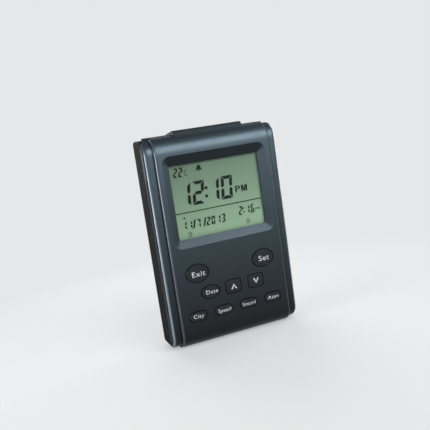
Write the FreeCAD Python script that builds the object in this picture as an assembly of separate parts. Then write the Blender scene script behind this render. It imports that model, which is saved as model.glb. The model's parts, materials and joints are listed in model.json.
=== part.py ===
import FreeCAD, Part
import math
import os

from FreeCAD import Vector

# Upright desk clock that calls the prayer times: a flat two-part case with a stepped, rolled
# front, a sunken liquid crystal display, nine keys, a snooze bar on top, a speaker behind a
# grille, two AAA cells under a door and a fold-out stand.
# Millimetres. +Z is up, the display faces -Y and +X is to the reader's right. The origin is
# the middle of the bottom of the bounding box.

# ---- how far a cut runs past the face that it opens ----
overrun = 1.0

# ---- case ----
rail_width = 5.6
band_beside_recess = 3.4
band_above_display = 17.3
panel_step = 1.1
panel_lift = 1.6
top_roll_radius = 10.0
bottom_roll_radius = 9.0
back_edge_radius = 2.0
rail_edge_radius = 2.6
panel_edge_radius = 1.3
housing_edge_radius = 1.8
wall = 2.0
cover_depth = 7.4
seam_gap = 0.15
tongue_height = 1.2
tongue_thickness = 0.8
tongue_clearance = 0.1

# ---- display ----
display_width = 55.2
display_height = 42.9
recess_depth = 2.8
recess_side = 4.4
recess_top = 5.8
recess_bottom = 4.4
recess_corner = 5.0
recess_floor_corner = 0.5
recess_wall = 1.3
recess_edge_radius = 0.8
lip = 0.7
window_margin = 2.0
window_thickness = 0.8
window_rib = 0.8
layer_gap = 0.1
glass_thickness = 1.05
glass_ledge = 2.0
glass_margin = 2.4
strip_width = 1.6
backlight_thickness = 1.0
frame_wall = 1.5
frame_corner = 1.0
peg_radius = 0.6
led_size = 1.2

# ---- main board ----
board_side_margin = 0.6
board_bottom = 8.5
board_top_drop = 8.8
board_thickness = 1.2
board_corner = 1.5
post_radius = 2.0
post_inset = 2.7
post_low_rise = 2.8
post_mid_drop = 8.8
post_high_inset = 4.0
post_high_drop = 2.2

# ---- keys ----
key_gap = 0.25
key_rise = 0.8
key_dome = 0.6
key_edge_radius = 0.25
key_flange = 0.9
key_flange_thickness = 0.8
key_travel = 0.7
key_stem_radius = 1.9
block_corner = 1.5
bar_key_corner = 2.3
oval_width = 13.6
oval_height = 10.2
small_oval_width = 11.0
small_oval_height = 7.6
block_width = 9.6
block_height = 7.6
bar_key_width = 10.4
bar_key_height = 5.2
bottom_key_z = 18.6
key_row_pitch = 12.6
keys_to_display = 20.0
command_key_inset = 14.3
middle_key_pitch = 14.6
bottom_key_inset = 11.1

# ---- key mat ----
mat_inset = 0.5
mat_below_keys = 4.6
mat_above_keys = 6.8
mat_thickness = 0.9
mat_dome_radius = 3.2
mat_dome_top_radius = 2.3
mat_gap = 0.05
mat_rib_thickness = 1.0
mat_rib_inset = 5.0

# ---- snooze bar ----
bar_width = 43.0
bar_depth = 11.5
bar_nose = 2.8
bar_nose_drop = 4.4
bar_nose_radius = 2.6
bar_rise = 2.0
bar_crest_setback = 4.6
bar_crest_radius = 8.0
bar_tail_rise = 0.5
bar_gap = 0.2
bar_edge_radius = 0.7
bar_flange = 1.0
bar_flange_thickness = 0.8
bar_travel = 0.9
bar_stem_width = 4.0
bar_stem_depth = 2.4
switch_width = 6.0
switch_depth = 3.4
switch_height = 4.6
plunger_radius = 1.4
plunger_height = 1.2

# ---- speaker ----
speaker_drop = 26.0
speaker_radius = 18.0
speaker_flange = 2.6
speaker_flange_thickness = 0.8
speaker_depth = 7.6
speaker_sheet = 0.6
magnet_radius = 10.5
magnet_thickness = 2.2
cone_sheet = 0.4
speaker_fit = 0.3
speaker_ring_wall = 1.2
speaker_ring_height = 2.4
speaker_lug_width = 4.0
speaker_lug_reach = 1.0
speaker_lugs = 3
speaker_wire_radius = 0.5
speaker_wire_pitch = 3.2
speaker_wire_bend = 2.5
speaker_wire_drop = 8.8
grille_radius = 14.2
slot_width = 1.4
slot_pitch = 2.9

# ---- battery bay ----
cell_radius = 5.25
cell_length = 44.5
nub_radius = 1.9
nub_height = 0.8
cell_spacing = 0.9
cell_clearance = 0.3
spring_height = 6.1
bay_above_foot = 4.6
bay_wall = 2.2
bay_floor = 1.0
bay_clearance = 0.6
contact_thickness = 0.5
contact_width = 7.6
contact_tail_width = 2.4
spring_wire = 0.5
spring_turns = 3.5
spring_radius = 3.6
spring_tip_radius = 2.7
spring_steps = 14
wire_sides = 8

# ---- battery door ----
door_thickness = 1.6
door_gap = 0.25
door_ledge = 1.8
door_tab_width = 3.0
door_tab_x = 10.6
door_tab_reach = 1.6
door_tab_thickness = 1.0
door_tab_foot = 2.4
door_grip_width = 10.0
door_grip_pitch = 2.0
door_grip_depth = 0.35

# ---- stand ----
leg_side_clearance = 2.3
leg_arm_width = 4.0
leg_thickness = 2.6
leg_foot_height = 4.4
leg_foot_z = 4.0
leg_pivot_drop = 44.0
leg_tail = 3.0
leg_sink = 0.2
leg_gap = 0.3
leg_opening_deg = 35.0
leg_corner = 2.0
pivot_pin_radius = 1.0
pivot_pin_length = 1.6
pivot_clearance = 0.05
channel_wall = 1.4
nail_notch_width = 14.0
nail_notch_depth = 2.2

# ---- screws ----
screw_side_inset = 5.8
screw_end_inset = 12.0
screw_radius = 1.1
screw_head_radius = 2.2
screw_head_height = 1.6
screw_length = 12.0
screw_bite = 4.5
screw_clearance = 0.2
pilot_clearance = 0.05
boss_radius = 2.7
housing_boss_radius = 3.4
board_screw_radius = 0.9
board_screw_head_radius = 1.7
board_screw_head_height = 1.1
board_screw_length = 4.4
cross_width = 0.5
cross_share = 0.6

# ---- parts on the board ----
blob_radius = 7.0
blob_height = 1.5
part_inset = 8.5
blob_rise = 29.5
chip_length = 10.0
chip_width = 6.0
chip_height = 2.0
chip_rise = 28.5
chip_leads = 8
lead_pitch = 1.27
lead_width = 0.45
crystal_radius = 1.0
crystal_length = 6.0
crystal_base_radius = 0.8
crystal_over_blob = 13.0
capacitor_radius = 2.5
capacitor_height = 7.0
capacitors_over_chip = 13.0
capacitor_pitch = 8.0
bead_radius = 1.2
bead_stand = 3.0
bead_rise = 13.5

# ---- places that follow from the sizes above ----
panel_width = display_width + 2 * (recess_side + band_beside_recess)
case_width = panel_width + 2 * rail_width
middle_key_z = bottom_key_z + key_row_pitch
command_key_z = middle_key_z + key_row_pitch
display_bottom = command_key_z + keys_to_display
case_height = display_bottom + display_height + band_above_display
command_key_x = panel_width / 2 - command_key_inset
bottom_key_pitch = (panel_width - 2 * bottom_key_inset) / 3
display_stack = lip + window_thickness + layer_gap + 2 * glass_thickness + backlight_thickness
board_setback = recess_depth + display_stack + layer_gap
bay_stack = bay_floor + 2 * layer_gap + 2 * cell_radius + cell_clearance + door_thickness
case_depth = board_setback + board_thickness + bay_clearance + bay_stack
front_y = key_rise - (case_depth + key_rise) / 2
back_y = front_y + case_depth
seam_y = front_y + cover_depth
inner_back_y = back_y - wall
board_front_y = front_y + board_setback
board_back_y = board_front_y + board_thickness
recess_floor_y = front_y + recess_depth
window_front_y = recess_floor_y + lip
window_back_y = window_front_y + window_thickness
glass_front_y = window_back_y + layer_gap
glass_back_y = glass_front_y + 2 * glass_thickness
frame_width = display_width + glass_margin + 2 * (layer_gap + frame_wall)
board_width = frame_width + 2 * board_side_margin
board_top = case_height - board_top_drop
chip_x = board_width / 2 - part_inset
blob_x = -chip_x
chip_z = board_bottom + chip_rise
blob_z = board_bottom + blob_rise
crystal_z = blob_z + crystal_over_blob
capacitor_z = chip_z + capacitors_over_chip
bead_z = board_bottom + bead_rise
mat_width = board_width - 2 * mat_inset
mat_bottom = bottom_key_z - mat_below_keys
mat_top = command_key_z + mat_above_keys
display_mid_z = display_bottom + display_height / 2
display_top = display_bottom + display_height
flange_front_y = front_y + wall + layer_gap
flange_back_y = flange_front_y + key_flange_thickness
mat_front_y = board_front_y - mat_thickness
dome_front_y = flange_back_y + key_travel + mat_gap + key_travel
stem_end_y = dome_front_y - key_travel - mat_gap
cell_y = back_y - door_thickness - cell_clearance - cell_radius
bay_floor_y = cell_y - cell_radius - layer_gap * 2
cell_pitch = 2 * cell_radius + cell_spacing
bay_half_width = cell_pitch / 2 + cell_radius + cell_clearance * 3
bay_bottom = leg_foot_z + leg_foot_height + bay_above_foot
bay_top = bay_bottom + cell_length + 2 * contact_thickness + spring_height
door_half_width = bay_half_width + door_ledge
door_bottom = bay_bottom - door_ledge + door_gap
hinge_z = bay_top + door_ledge - door_gap - door_thickness / 2
hinge_y = back_y - door_thickness / 2
leg_inner_width = 2 * (door_half_width + door_gap + leg_side_clearance)
leg_outer_width = leg_inner_width + 2 * leg_arm_width
leg_pivot_z = case_height - leg_pivot_drop
leg_back_y = back_y - leg_sink
leg_front_y = leg_back_y - leg_thickness
leg_axis_y = leg_back_y - leg_thickness / 2
groove_floor_y = leg_front_y - leg_gap / 2
heel_reach = leg_tail * math.sin(math.radians(leg_opening_deg))
heel_drop = leg_thickness / 2 * math.cos(math.radians(leg_opening_deg))
heel_floor_y = leg_axis_y - heel_reach - heel_drop - layer_gap / 2
screw_tip_y = seam_y - screw_bite
screw_seat_y = screw_tip_y + screw_length
screw_x = case_width / 2 - screw_side_inset
screw_low_z = screw_end_inset
screw_high_z = case_height - screw_end_inset
bar_flange_front_y = seam_y + bar_gap
bar_front_y = seam_y - bar_nose
bar_back_y = bar_flange_front_y + bar_depth
bar_flange_top = case_height - wall - layer_gap
bar_flange_bottom = bar_flange_top - bar_flange_thickness
bar_bottom = case_height - bar_nose_drop
switch_y = board_back_y + switch_depth / 2
plunger_top = board_top + plunger_height
speaker_z = case_height - speaker_drop
speaker_back_y = inner_back_y
speaker_front_y = speaker_back_y - speaker_depth

KEYS = {
    "exit_key": ("oval", -command_key_x, command_key_z),
    "set_key": ("oval", command_key_x, command_key_z),
    "date_key": ("small_oval", -middle_key_pitch, middle_key_z),
    "up_key": ("block", 0.0, middle_key_z),
    "down_key": ("block", middle_key_pitch, middle_key_z),
    "city_key": ("bar", -1.5 * bottom_key_pitch, bottom_key_z),
    "speech_key": ("bar", -0.5 * bottom_key_pitch, bottom_key_z),
    "sound_key": ("bar", 0.5 * bottom_key_pitch, bottom_key_z),
    "azan_key": ("bar", 1.5 * bottom_key_pitch, bottom_key_z),
}
KEY_SIZES = {
    "oval": (oval_width, oval_height, 0.0),
    "small_oval": (small_oval_width, small_oval_height, 0.0),
    "block": (block_width, block_height, block_corner),
    "bar": (bar_key_width, bar_key_height, bar_key_corner),
}
POST_PLACES = [
    (board_width / 2 - post_inset, board_bottom + post_low_rise),
    (board_width / 2 - post_inset, display_bottom - post_mid_drop),
    (board_width / 2 - post_high_inset, board_top - post_high_drop),
]
BOARD_POSTS = [(side * x, z) for side in (-1, 1) for x, z in POST_PLACES]
SCREW_PLACES = [(side * screw_x, z) for side in (-1, 1) for z in (screw_low_z, screw_high_z)]
ALONG_X = Vector(1, 0, 0)
ALONG_Y = Vector(0, 1, 0)
ALONG_Z = Vector(0, 0, 1)


# ---- building blocks ----
def box(x0, x1, y0, y1, z0, z1):
    """A block between two corners."""
    return Part.makeBox(x1 - x0, y1 - y0, z1 - z0, Vector(x0, y0, z0))


def rod(radius, start, axis, length):
    """A round bar of a length, from a start point along an axis."""
    return Part.makeCylinder(radius, length, start, axis)


def rod_y(radius, x, z, y0, y1):
    """A round bar that runs front to back."""
    return rod(radius, Vector(x, y0, z), ALONG_Y, y1 - y0)


def rounded_wire(points, radii):
    """A closed flat outline whose corners are rounded by the radii given, 0 for a sharp one."""
    count = len(points)
    starts = []
    ends = []
    arcs = []
    for i, corner in enumerate(points):
        radius = radii[i]
        if radius <= 0:
            starts.append(corner)
            ends.append(corner)
            arcs.append(None)
            continue
        to_last = (points[i - 1] - corner).normalize()
        to_next = (points[(i + 1) % count] - corner).normalize()
        half = to_last.getAngle(to_next) / 2
        reach = radius / math.tan(half)
        middle = (to_last + to_next).normalize() * (radius / math.sin(half) - radius)
        starts.append(corner + to_last * reach)
        ends.append(corner + to_next * reach)
        arcs.append(Part.Arc(starts[i], corner + middle, ends[i]).toShape())
    edges = []
    for i in range(count):
        if arcs[i] is not None:
            edges.append(arcs[i])
        edges.append(Part.LineSegment(ends[i], starts[(i + 1) % count]).toShape())
    return Part.Wire(edges)


def rectangle(x, z, width, height, corner, y):
    """An upright rounded rectangle centred on (x, z), in the plane at y."""
    signs = ((-1, -1), (1, -1), (1, 1), (-1, 1))
    points = [Vector(x + sx * width / 2, y, z + sz * height / 2) for sx, sz in signs]
    return rounded_wire(points, [corner] * len(points))


def ellipse(x, z, width, height, y):
    """An upright ellipse centred on (x, z), in the plane at y."""
    side = Vector(x + width / 2, y, z)
    top = Vector(x, y, z + height / 2)
    return Part.Wire(Part.Ellipse(side, top, Vector(x, y, z)).toShape())


def slab_y(wire, depth):
    """The outline carried back by a depth."""
    return Part.Face(wire).extrude(ALONG_Y * depth)


def bent_wire(points, bend, radius):
    """A round wire along straight runs that are joined by arcs of the bend radius."""
    edges = []
    start = points[0]
    for last, corner, following in zip(points, points[1:], points[2:]):
        to_last = (last - corner).normalize()
        to_next = (following - corner).normalize()
        half = to_last.getAngle(to_next) / 2
        reach = bend / math.tan(half)
        middle = corner + (to_last + to_next).normalize() * (bend / math.sin(half) - bend)
        edges.append(Part.LineSegment(start, corner + to_last * reach).toShape())
        start = corner + to_next * reach
        edges.append(Part.Arc(corner + to_last * reach, middle, start).toShape())
    edges.append(Part.LineSegment(start, points[-1]).toShape())
    section = Part.Wire(Part.makeCircle(radius, points[0], points[1] - points[0]))
    return Part.Wire(edges).makePipeShell([section], True, False)


def all_of(shapes):
    """Everything in the list fused into one shape."""
    first = shapes[0]
    return first.multiFuse(shapes[1:]).removeSplitter() if len(shapes) > 1 else first


def turned(points, x, z):
    """A solid turned about the front-to-back line through (x, z) from (radius, y) points."""
    corners = [Vector(x + radius, y, z) for radius, y in points]
    outline = Part.makePolygon(corners + corners[:1])
    return Part.Face(outline).revolve(Vector(x, 0, z), ALONG_Y, 360)


def edges_at_x(shape, x, skip_y):
    """The edges that lie in the two planes at x and -x, without those in the plane at skip_y."""
    near = 1e-4
    found = []
    for edge in shape.Edges:
        b = edge.BoundBox
        in_plane = b.XLength < near and abs(abs(b.XMin) - x) < near
        skipped = b.YLength < near and abs(b.YMin - skip_y) < near
        if in_plane and not skipped:
            found.append(edge)
    return found


# ---- case shapes ----
def case_slab(half_width, inset, step, lift):
    """One width of the case: flat back, rolled front edges, ends lower by step and front by lift."""
    y0 = front_y + lift + inset
    z0 = step + inset
    z1 = case_height - step - inset
    y1 = back_y - inset
    x = -half_width
    points = [Vector(x, y0, z0), Vector(x, y1, z0), Vector(x, y1, z1), Vector(x, y0, z1)]
    back = max(back_edge_radius - inset, 0.0)
    radii = [bottom_roll_radius - step - inset, back, back, top_roll_radius - step - inset]
    return Part.Face(rounded_wire(points, radii)).extrude(ALONG_X * (2 * half_width))


def case_core(inset):
    """The whole case pulled in by inset: the side rails and the raised centre panel."""
    rails = case_slab(case_width / 2 - inset, inset, panel_step, panel_lift)
    panel = case_slab(panel_width / 2 - inset, inset, 0.0, 0.0)
    return rails.fuse(panel)


def span_y(y0, y1):
    """A block wider and taller than the case, between two depths."""
    return box(-case_width, case_width, y0, y1, -case_height, 2 * case_height)


def outer_half(y0, y1, cut_y, rail_radius, panel_radius):
    """The outside of one shell of the case, its side edges rounded."""
    keep = span_y(y0, y1)
    rails = case_slab(case_width / 2, 0.0, panel_step, panel_lift).common(keep)
    rails = rails.makeFillet(rail_radius, edges_at_x(rails, case_width / 2, cut_y))
    panel = case_slab(panel_width / 2, 0.0, 0.0, 0.0).common(keep)
    if panel_radius > 0:
        panel = panel.makeFillet(panel_radius, edges_at_x(panel, panel_width / 2, cut_y))
    return rails.fuse(panel).removeSplitter()


def rim(outer_inset, y0, y1):
    """A band that follows the inside of the case wall, between two depths."""
    band = case_core(outer_inset).cut(case_core(wall))
    return band.common(span_y(y0, y1))


# ---- front cover ----
def recess_outline(grow, y, at_mouth):
    """The display recess outline at its mouth or at its floor, grown outwards all round."""
    side, low, high = (recess_side, recess_bottom, recess_top) if at_mouth else (0.0, 0.0, 0.0)
    width = display_width + 2 * (side + grow)
    height = display_height + low + high + 2 * grow
    middle = display_mid_z + (high - low) / 2
    corner = (recess_corner if at_mouth else recess_floor_corner) + grow
    return rectangle(0.0, middle, width, height, corner, y)


def recess_cut():
    """The sloping hollow from the front panel down to the display."""
    return Part.makeLoft(
        [recess_outline(0.0, front_y, True), recess_outline(0.0, recess_floor_y, False)], True, True
    )


def display_well():
    """The sloping walls round the recess and the flat seat behind them for the window."""
    walls = Part.makeLoft(
        [
            recess_outline(recess_wall, front_y + wall / 2, True),
            recess_outline(recess_wall, window_front_y, False),
        ],
        True,
        True,
    )
    seat_width = display_width + 2 * (window_margin + window_rib)
    seat_height = display_height + 2 * (window_margin + window_rib)
    seat = rectangle(0.0, display_mid_z, seat_width, seat_height, recess_floor_corner, recess_floor_y)
    ribs = slab_y(seat, lip + window_thickness)
    pocket = rectangle(
        0.0,
        display_mid_z,
        display_width + 2 * (window_margin + layer_gap),
        display_height + 2 * (window_margin + layer_gap),
        recess_floor_corner,
        window_front_y,
    )
    return walls.fuse(ribs).cut(slab_y(pocket, window_thickness))


def key_outline(kind, x, z, grow, y):
    """The outline of one key, grown outwards all round."""
    width, height, corner = KEY_SIZES[kind]
    if corner == 0.0:
        return ellipse(x, z, width + 2 * grow, height + 2 * grow, y)
    return rectangle(x, z, width + 2 * grow, height + 2 * grow, corner + grow, y)


def cover_posts():
    """Board posts, case screw bosses and the two ribs that hold the key mat down."""
    root_y = front_y + wall / 2
    posts = [rod_y(post_radius, x, z, root_y, board_front_y) for x, z in BOARD_POSTS]
    bosses = [rod_y(boss_radius, x, z, root_y, seam_y - seam_gap) for x, z in SCREW_PLACES]
    lower_edge = bottom_key_z + bar_key_height / 2 + key_flange
    middle_edge = middle_key_z + small_oval_height / 2 + key_flange
    block_edge = middle_key_z - block_height / 2 - key_flange
    oval_edge = command_key_z - oval_height / 2 - key_flange
    ribs = []
    for z in ((lower_edge + block_edge) / 2, (middle_edge + oval_edge) / 2):
        half = mat_rib_thickness / 2
        x = mat_width / 2 - mat_rib_inset
        ribs.append(box(-x, x, root_y, mat_front_y, z - half, z + half))
    return posts + bosses + ribs


def front_cover():
    """The coloured front shell: stepped panel, rolled ends, display recess and key openings."""
    end_y = seam_y - seam_gap
    outside = outer_half(front_y - overrun, end_y, end_y, rail_edge_radius, panel_edge_radius)
    shell = outside.cut(case_core(wall))
    rebate = wall - tongue_thickness - 2 * tongue_clearance
    shell = shell.cut(rim(rebate, seam_y - tongue_height - tongue_clearance, seam_y))
    inside = display_well().multiFuse(cover_posts()).common(outside)
    cover = shell.fuse(inside).cut(recess_cut())
    cover = cover.removeSplitter()
    mouth = [e for e in cover.Edges if lies_on_mouth(e)]
    cover = cover.makeFillet(recess_edge_radius, mouth)
    floor = recess_outline(0.0, recess_floor_y, False)
    cuts = [slab_y(floor, lip), bar_notch()]
    for kind, x, z in KEYS.values():
        cuts.append(slab_y(key_outline(kind, x, z, key_gap, front_y), wall))
    pilot_radius = board_screw_radius + pilot_clearance
    pilot_tip = board_back_y - board_screw_length - pilot_clearance
    for x, z in BOARD_POSTS:
        cuts.append(rod_y(pilot_radius, x, z, pilot_tip, board_front_y))
    for x, z in SCREW_PLACES:
        cuts.append(rod_y(screw_radius + pilot_clearance, x, z, screw_tip_y - pilot_clearance, seam_y))
    return cover.cut(cuts)


def bar_notch():
    """The room for the bar through the top walls of both shells."""
    x = bar_width / 2 + bar_gap
    low = bar_bottom - bar_travel - bar_gap
    return box(-x, x, bar_front_y - bar_gap, bar_back_y + bar_gap, low, case_height + overrun)


def lies_on_mouth(edge):
    """Whether an edge is part of the recess outline on the front plane."""
    near = 1e-4
    b = edge.BoundBox
    flat = b.YLength < near and abs(b.YMin - front_y) < near
    inside = max(abs(b.XMin), abs(b.XMax)) < display_width / 2 + recess_side + near
    above = b.ZMin > display_bottom - recess_bottom - near
    below = b.ZMax < display_top + recess_top + near
    return flat and inside and above and below


# ---- rear housing ----
def leg_channel_blocks():
    """The solid round the stand's groove, on the inside of the back wall."""
    blocks = []
    inner = bay_half_width
    outer = leg_outer_width / 2 + leg_gap + channel_wall
    floor = groove_floor_y - channel_wall
    pivot_floor = heel_floor_y - channel_wall
    pivot_low = leg_pivot_z - leg_thickness - channel_wall
    pivot_high = leg_pivot_z + leg_tail + 2 * leg_gap + channel_wall
    outer_pivot = leg_outer_width / 2 + pivot_pin_length + channel_wall
    arm_inner = leg_inner_width / 2 - leg_gap - channel_wall
    for side in (-1, 1):
        x0, x1 = sorted((side * inner, side * outer))
        blocks.append(box(x0, x1, floor, inner_back_y, wall / 2, pivot_low))
        x0, x1 = sorted((side * arm_inner, side * outer_pivot))
        blocks.append(box(x0, x1, pivot_floor, inner_back_y, pivot_low, pivot_high))
    foot_top = leg_foot_z + leg_foot_height + leg_gap + channel_wall
    blocks.append(box(-outer, outer, floor, inner_back_y, wall / 2, foot_top))
    return blocks


def leg_groove():
    """The room that the folded stand lies in, with deeper pockets behind its two heels."""
    outer = leg_outer_width / 2 + leg_gap
    inner = leg_inner_width / 2 - leg_gap
    low = leg_foot_z - leg_gap
    top = leg_pivot_z + leg_tail + 2 * leg_gap
    foot_top = leg_foot_z + leg_foot_height + leg_gap
    open_y = back_y + overrun
    parts = [box(-outer, outer, groove_floor_y, open_y, low, foot_top)]
    for side in (-1, 1):
        x0, x1 = sorted((side * inner, side * outer))
        parts.append(box(x0, x1, groove_floor_y, open_y, low, top))
        parts.append(box(x0, x1, heel_floor_y, open_y, leg_pivot_z - leg_thickness / 2, top))
    return all_of(parts)


def pivot_bores():
    """The two blind holes for the stand's pins."""
    start = leg_outer_width / 2
    length = pivot_pin_length + leg_gap + pivot_clearance
    radius = pivot_pin_radius + pivot_clearance
    return [
        rod(radius, Vector(side * start, leg_axis_y, leg_pivot_z), ALONG_X * side, length)
        for side in (-1, 1)
    ]


def bay_tub():
    """The closed tub that the two cells lie in."""
    x = door_half_width + door_gap + layer_gap
    low = bay_bottom - bay_wall
    high = bay_top + bay_wall
    return box(-x, x, bay_floor_y - bay_floor, inner_back_y, low, high)


def bay_cuts():
    """The cells' room, the seat for the door, and the slots for its two tabs."""
    ledge = door_half_width + door_gap
    low = bay_bottom - door_ledge
    high = bay_top + door_ledge
    seat_y = back_y - door_thickness
    open_y = back_y + overrun
    cuts = [
        box(-bay_half_width, bay_half_width, bay_floor_y, open_y, bay_bottom, bay_top),
        box(-ledge, ledge, seat_y - layer_gap, open_y, low, high),
    ]
    sweep = math.hypot(door_tab_reach, door_thickness / 2 + door_tab_thickness) + layer_gap
    for side in (-1, 1):
        x = side * door_tab_x
        half = door_tab_width / 2 + door_gap
        slot_low = hinge_z - sweep - door_gap
        cuts.append(box(x - half, x + half, hinge_y - sweep, seat_y + layer_gap, slot_low, hinge_z + sweep))
    grip_low = leg_foot_z + leg_foot_height
    half = door_grip_width / 2
    cuts.append(box(-half, half, seat_y + layer_gap, open_y, grip_low, bay_bottom))
    return cuts


def cell_divider():
    """The low rib on the tub's floor between the cells."""
    half = (cell_pitch / 2 - cell_radius) / 2
    top = bay_floor_y + cell_radius / 2
    margin = cell_radius
    return box(-half, half, bay_floor_y - layer_gap, top, bay_bottom + margin, bay_top - margin)


def grille_slots():
    """Rows of slots through the back wall, in a round field in front of the speaker."""
    slots = []
    rows = int((grille_radius - slot_width / 2) // slot_pitch)
    for row in range(-rows, rows + 1):
        z = speaker_z + row * slot_pitch
        rise = abs(row) * slot_pitch + slot_width / 2
        length = 2 * math.sqrt(max(grille_radius**2 - rise**2, slot_width**2))
        outline = rectangle(0.0, z, length, slot_width, slot_width / 2 - layer_gap / 2, inner_back_y)
        slots.append(slab_y(outline, wall))
    return slots


def housing_bosses():
    """The four tubes that the case screws go down."""
    inner = seam_y
    return [rod_y(housing_boss_radius, x, z, inner, inner_back_y + wall / 2) for x, z in SCREW_PLACES]


def screw_cuts():
    """The deep counterbores and the clearance holes of the case screws."""
    cuts = []
    for x, z in SCREW_PLACES:
        cuts.append(rod_y(screw_head_radius + screw_clearance, x, z, screw_seat_y, back_y + overrun))
        cuts.append(rod_y(screw_radius + screw_clearance, x, z, seam_y - overrun, screw_seat_y))
    return cuts


def speaker_ring():
    """The round wall that holds the speaker to the back."""
    inner = speaker_radius + speaker_fit
    outer = inner + speaker_ring_wall
    y0 = inner_back_y - speaker_ring_height
    ring = rod_y(outer, 0.0, speaker_z, y0, inner_back_y + wall / 2)
    ring = ring.cut(rod_y(inner, 0.0, speaker_z, y0, inner_back_y))
    reach = inner - speaker_lug_reach
    over_flange = speaker_back_y - speaker_flange_thickness - layer_gap
    half = speaker_lug_width / 2
    for i in range(speaker_lugs):
        lug = box(-half, half, y0, over_flange, speaker_z + reach, speaker_z + inner + speaker_ring_wall / 2)
        lug.rotate(Vector(0, 0, speaker_z), ALONG_Y, 360 * i / speaker_lugs)
        ring = ring.fuse(lug)
    return ring


def rear_housing():
    """The dark rear shell: battery tub, stand groove, speaker ring, grille and screw tubes."""
    outside = outer_half(seam_y, back_y + overrun, seam_y, housing_edge_radius, 0.0)
    shell = outside.cut(case_core(wall))
    shell = shell.fuse(rim(wall - tongue_thickness - tongue_clearance, seam_y - tongue_height, seam_y))
    lip_x = bar_width / 2 + bar_flange + 2 * bar_gap
    low = bar_flange_bottom - bar_travel - bar_gap
    tongue_gap = box(-lip_x, lip_x, seam_y - 2 * tongue_height, seam_y, low, case_height)
    lip_back = bar_back_y + bar_flange + bar_gap
    lip_room = box(-lip_x, lip_x, seam_y - tongue_height, lip_back, low, bar_flange_top + layer_gap)
    shell = shell.cut([bar_notch(), tongue_gap, lip_room])
    blocks = [bay_tub(), speaker_ring()] + leg_channel_blocks() + housing_bosses()
    inside = all_of(blocks).common(outside)
    shell = shell.fuse(inside)
    nail = box(
        -nail_notch_width / 2,
        nail_notch_width / 2,
        back_y - nail_notch_depth,
        back_y + overrun,
        -overrun,
        leg_foot_z,
    )
    cuts = [leg_groove(), nail] + pivot_bores() + bay_cuts() + grille_slots() + screw_cuts()
    cuts += contact_tails(layer_gap)
    shell = shell.cut(cuts)
    return shell.fuse(cell_divider()).removeSplitter()


# ---- display stack ----
def plate(width, height, corner, y0, y1):
    """A flat sheet centred behind the display."""
    return slab_y(rectangle(0.0, display_mid_z, width, height, corner, y0), y1 - y0)


def display_window():
    """The clear window behind the recess."""
    width = display_width + 2 * window_margin
    height = display_height + 2 * window_margin
    return plate(width, height, recess_floor_corner, window_front_y, window_back_y)


def lcd_panel():
    """The two glasses of the display: the front one stands out at the top and bottom."""
    width = display_width + glass_margin
    height = display_height + 2 * glass_margin
    middle_y = glass_front_y + glass_thickness
    front = plate(width, height, 0.0, glass_front_y, middle_y)
    rear = plate(width, height - 2 * glass_ledge, 0.0, middle_y, glass_back_y)
    return Part.makeCompound([front, rear])


def lcd_backlight():
    """The light guide behind the display."""
    height = display_height + 2 * (glass_margin - glass_ledge)
    return plate(display_width, height, 0.0, glass_back_y, glass_back_y + backlight_thickness)


def backlight_leds():
    """Two side-looking lamps at the edge of the light guide."""
    lamps = []
    x = display_width / 2
    for side in (-1, 1):
        z = display_mid_z + side * display_height / 4
        lamps.append(box(x, x + led_size, glass_back_y, board_front_y, z - led_size, z + led_size))
    return Part.makeCompound(lamps)


def lcd_frame():
    """The frame that holds the glass to the board, with four pegs in the board."""
    inner_w = display_width + glass_margin + 2 * layer_gap
    inner_h = display_height + 2 * glass_margin + 2 * layer_gap
    y0 = glass_front_y
    outside = plate(inner_w + 2 * frame_wall, inner_h + 2 * frame_wall, frame_corner, y0, board_front_y)
    frame = outside.cut(plate(inner_w, inner_h, 0.0, y0, board_front_y))
    pegs = [rod_y(peg_radius, x, z, y0 + frame_wall, board_back_y) for x, z in frame_pegs()]
    return all_of([frame] + pegs)


def frame_pegs():
    """The four peg places, in the middle of the frame's wall."""
    x = (display_width + glass_margin) / 2 + layer_gap + frame_wall / 2
    rise = display_height / 3
    return [(side * x, display_mid_z + up * rise) for side in (-1, 1) for up in (-1, 1)]


def zebra_strips():
    """The two striped rubber connectors from the glass ledges to the board."""
    strips = []
    y0 = glass_front_y + glass_thickness
    x = display_width / 2
    for side in (-1, 1):
        z = display_mid_z + side * (display_height / 2 + glass_margin - glass_ledge / 2)
        half = strip_width / 2
        strips.append(box(-x, x, y0, board_front_y, z - half, z + half))
    return Part.makeCompound(strips)


# ---- main board and what it carries ----
def main_board():
    """The circuit board."""
    middle = (board_bottom + board_top) / 2
    outline = rectangle(0.0, middle, board_width, board_top - board_bottom, board_corner, board_front_y)
    board = slab_y(outline, board_thickness)
    holes = []
    for x, z in BOARD_POSTS:
        holes.append(rod_y(board_screw_radius + screw_clearance, x, z, board_front_y, board_back_y))
    for x, z in frame_pegs():
        holes.append(rod_y(peg_radius + layer_gap, x, z, board_front_y, board_back_y))
    return board.cut(holes)


def controller_blob():
    """The drop of resin over the controller."""
    radius = (blob_radius**2 + blob_height**2) / (2 * blob_height)
    ball = Part.makeSphere(radius, Vector(blob_x, board_back_y + blob_height - radius, blob_z))
    return ball.common(box(blob_x - radius, blob_x + radius, board_back_y, board_back_y + radius,
                           blob_z - radius, blob_z + radius))


def voice_chip():
    """The chip that stores the call, with its two rows of leads."""
    body_y = board_back_y + lead_width / 2
    x0 = chip_x - chip_width / 2
    z0 = chip_z - chip_length / 2
    parts = [box(x0, x0 + chip_width, body_y, body_y + chip_height, z0, z0 + chip_length)]
    row = (chip_leads - 1) * lead_pitch
    reach = chip_width / 2 + 2 * lead_width
    for i in range(chip_leads):
        z = chip_z - row / 2 + i * lead_pitch - lead_width / 2
        foot = box(chip_x - reach, chip_x + reach, board_back_y, body_y + lead_width, z, z + lead_width)
        parts.append(foot)
    return all_of(parts)


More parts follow.
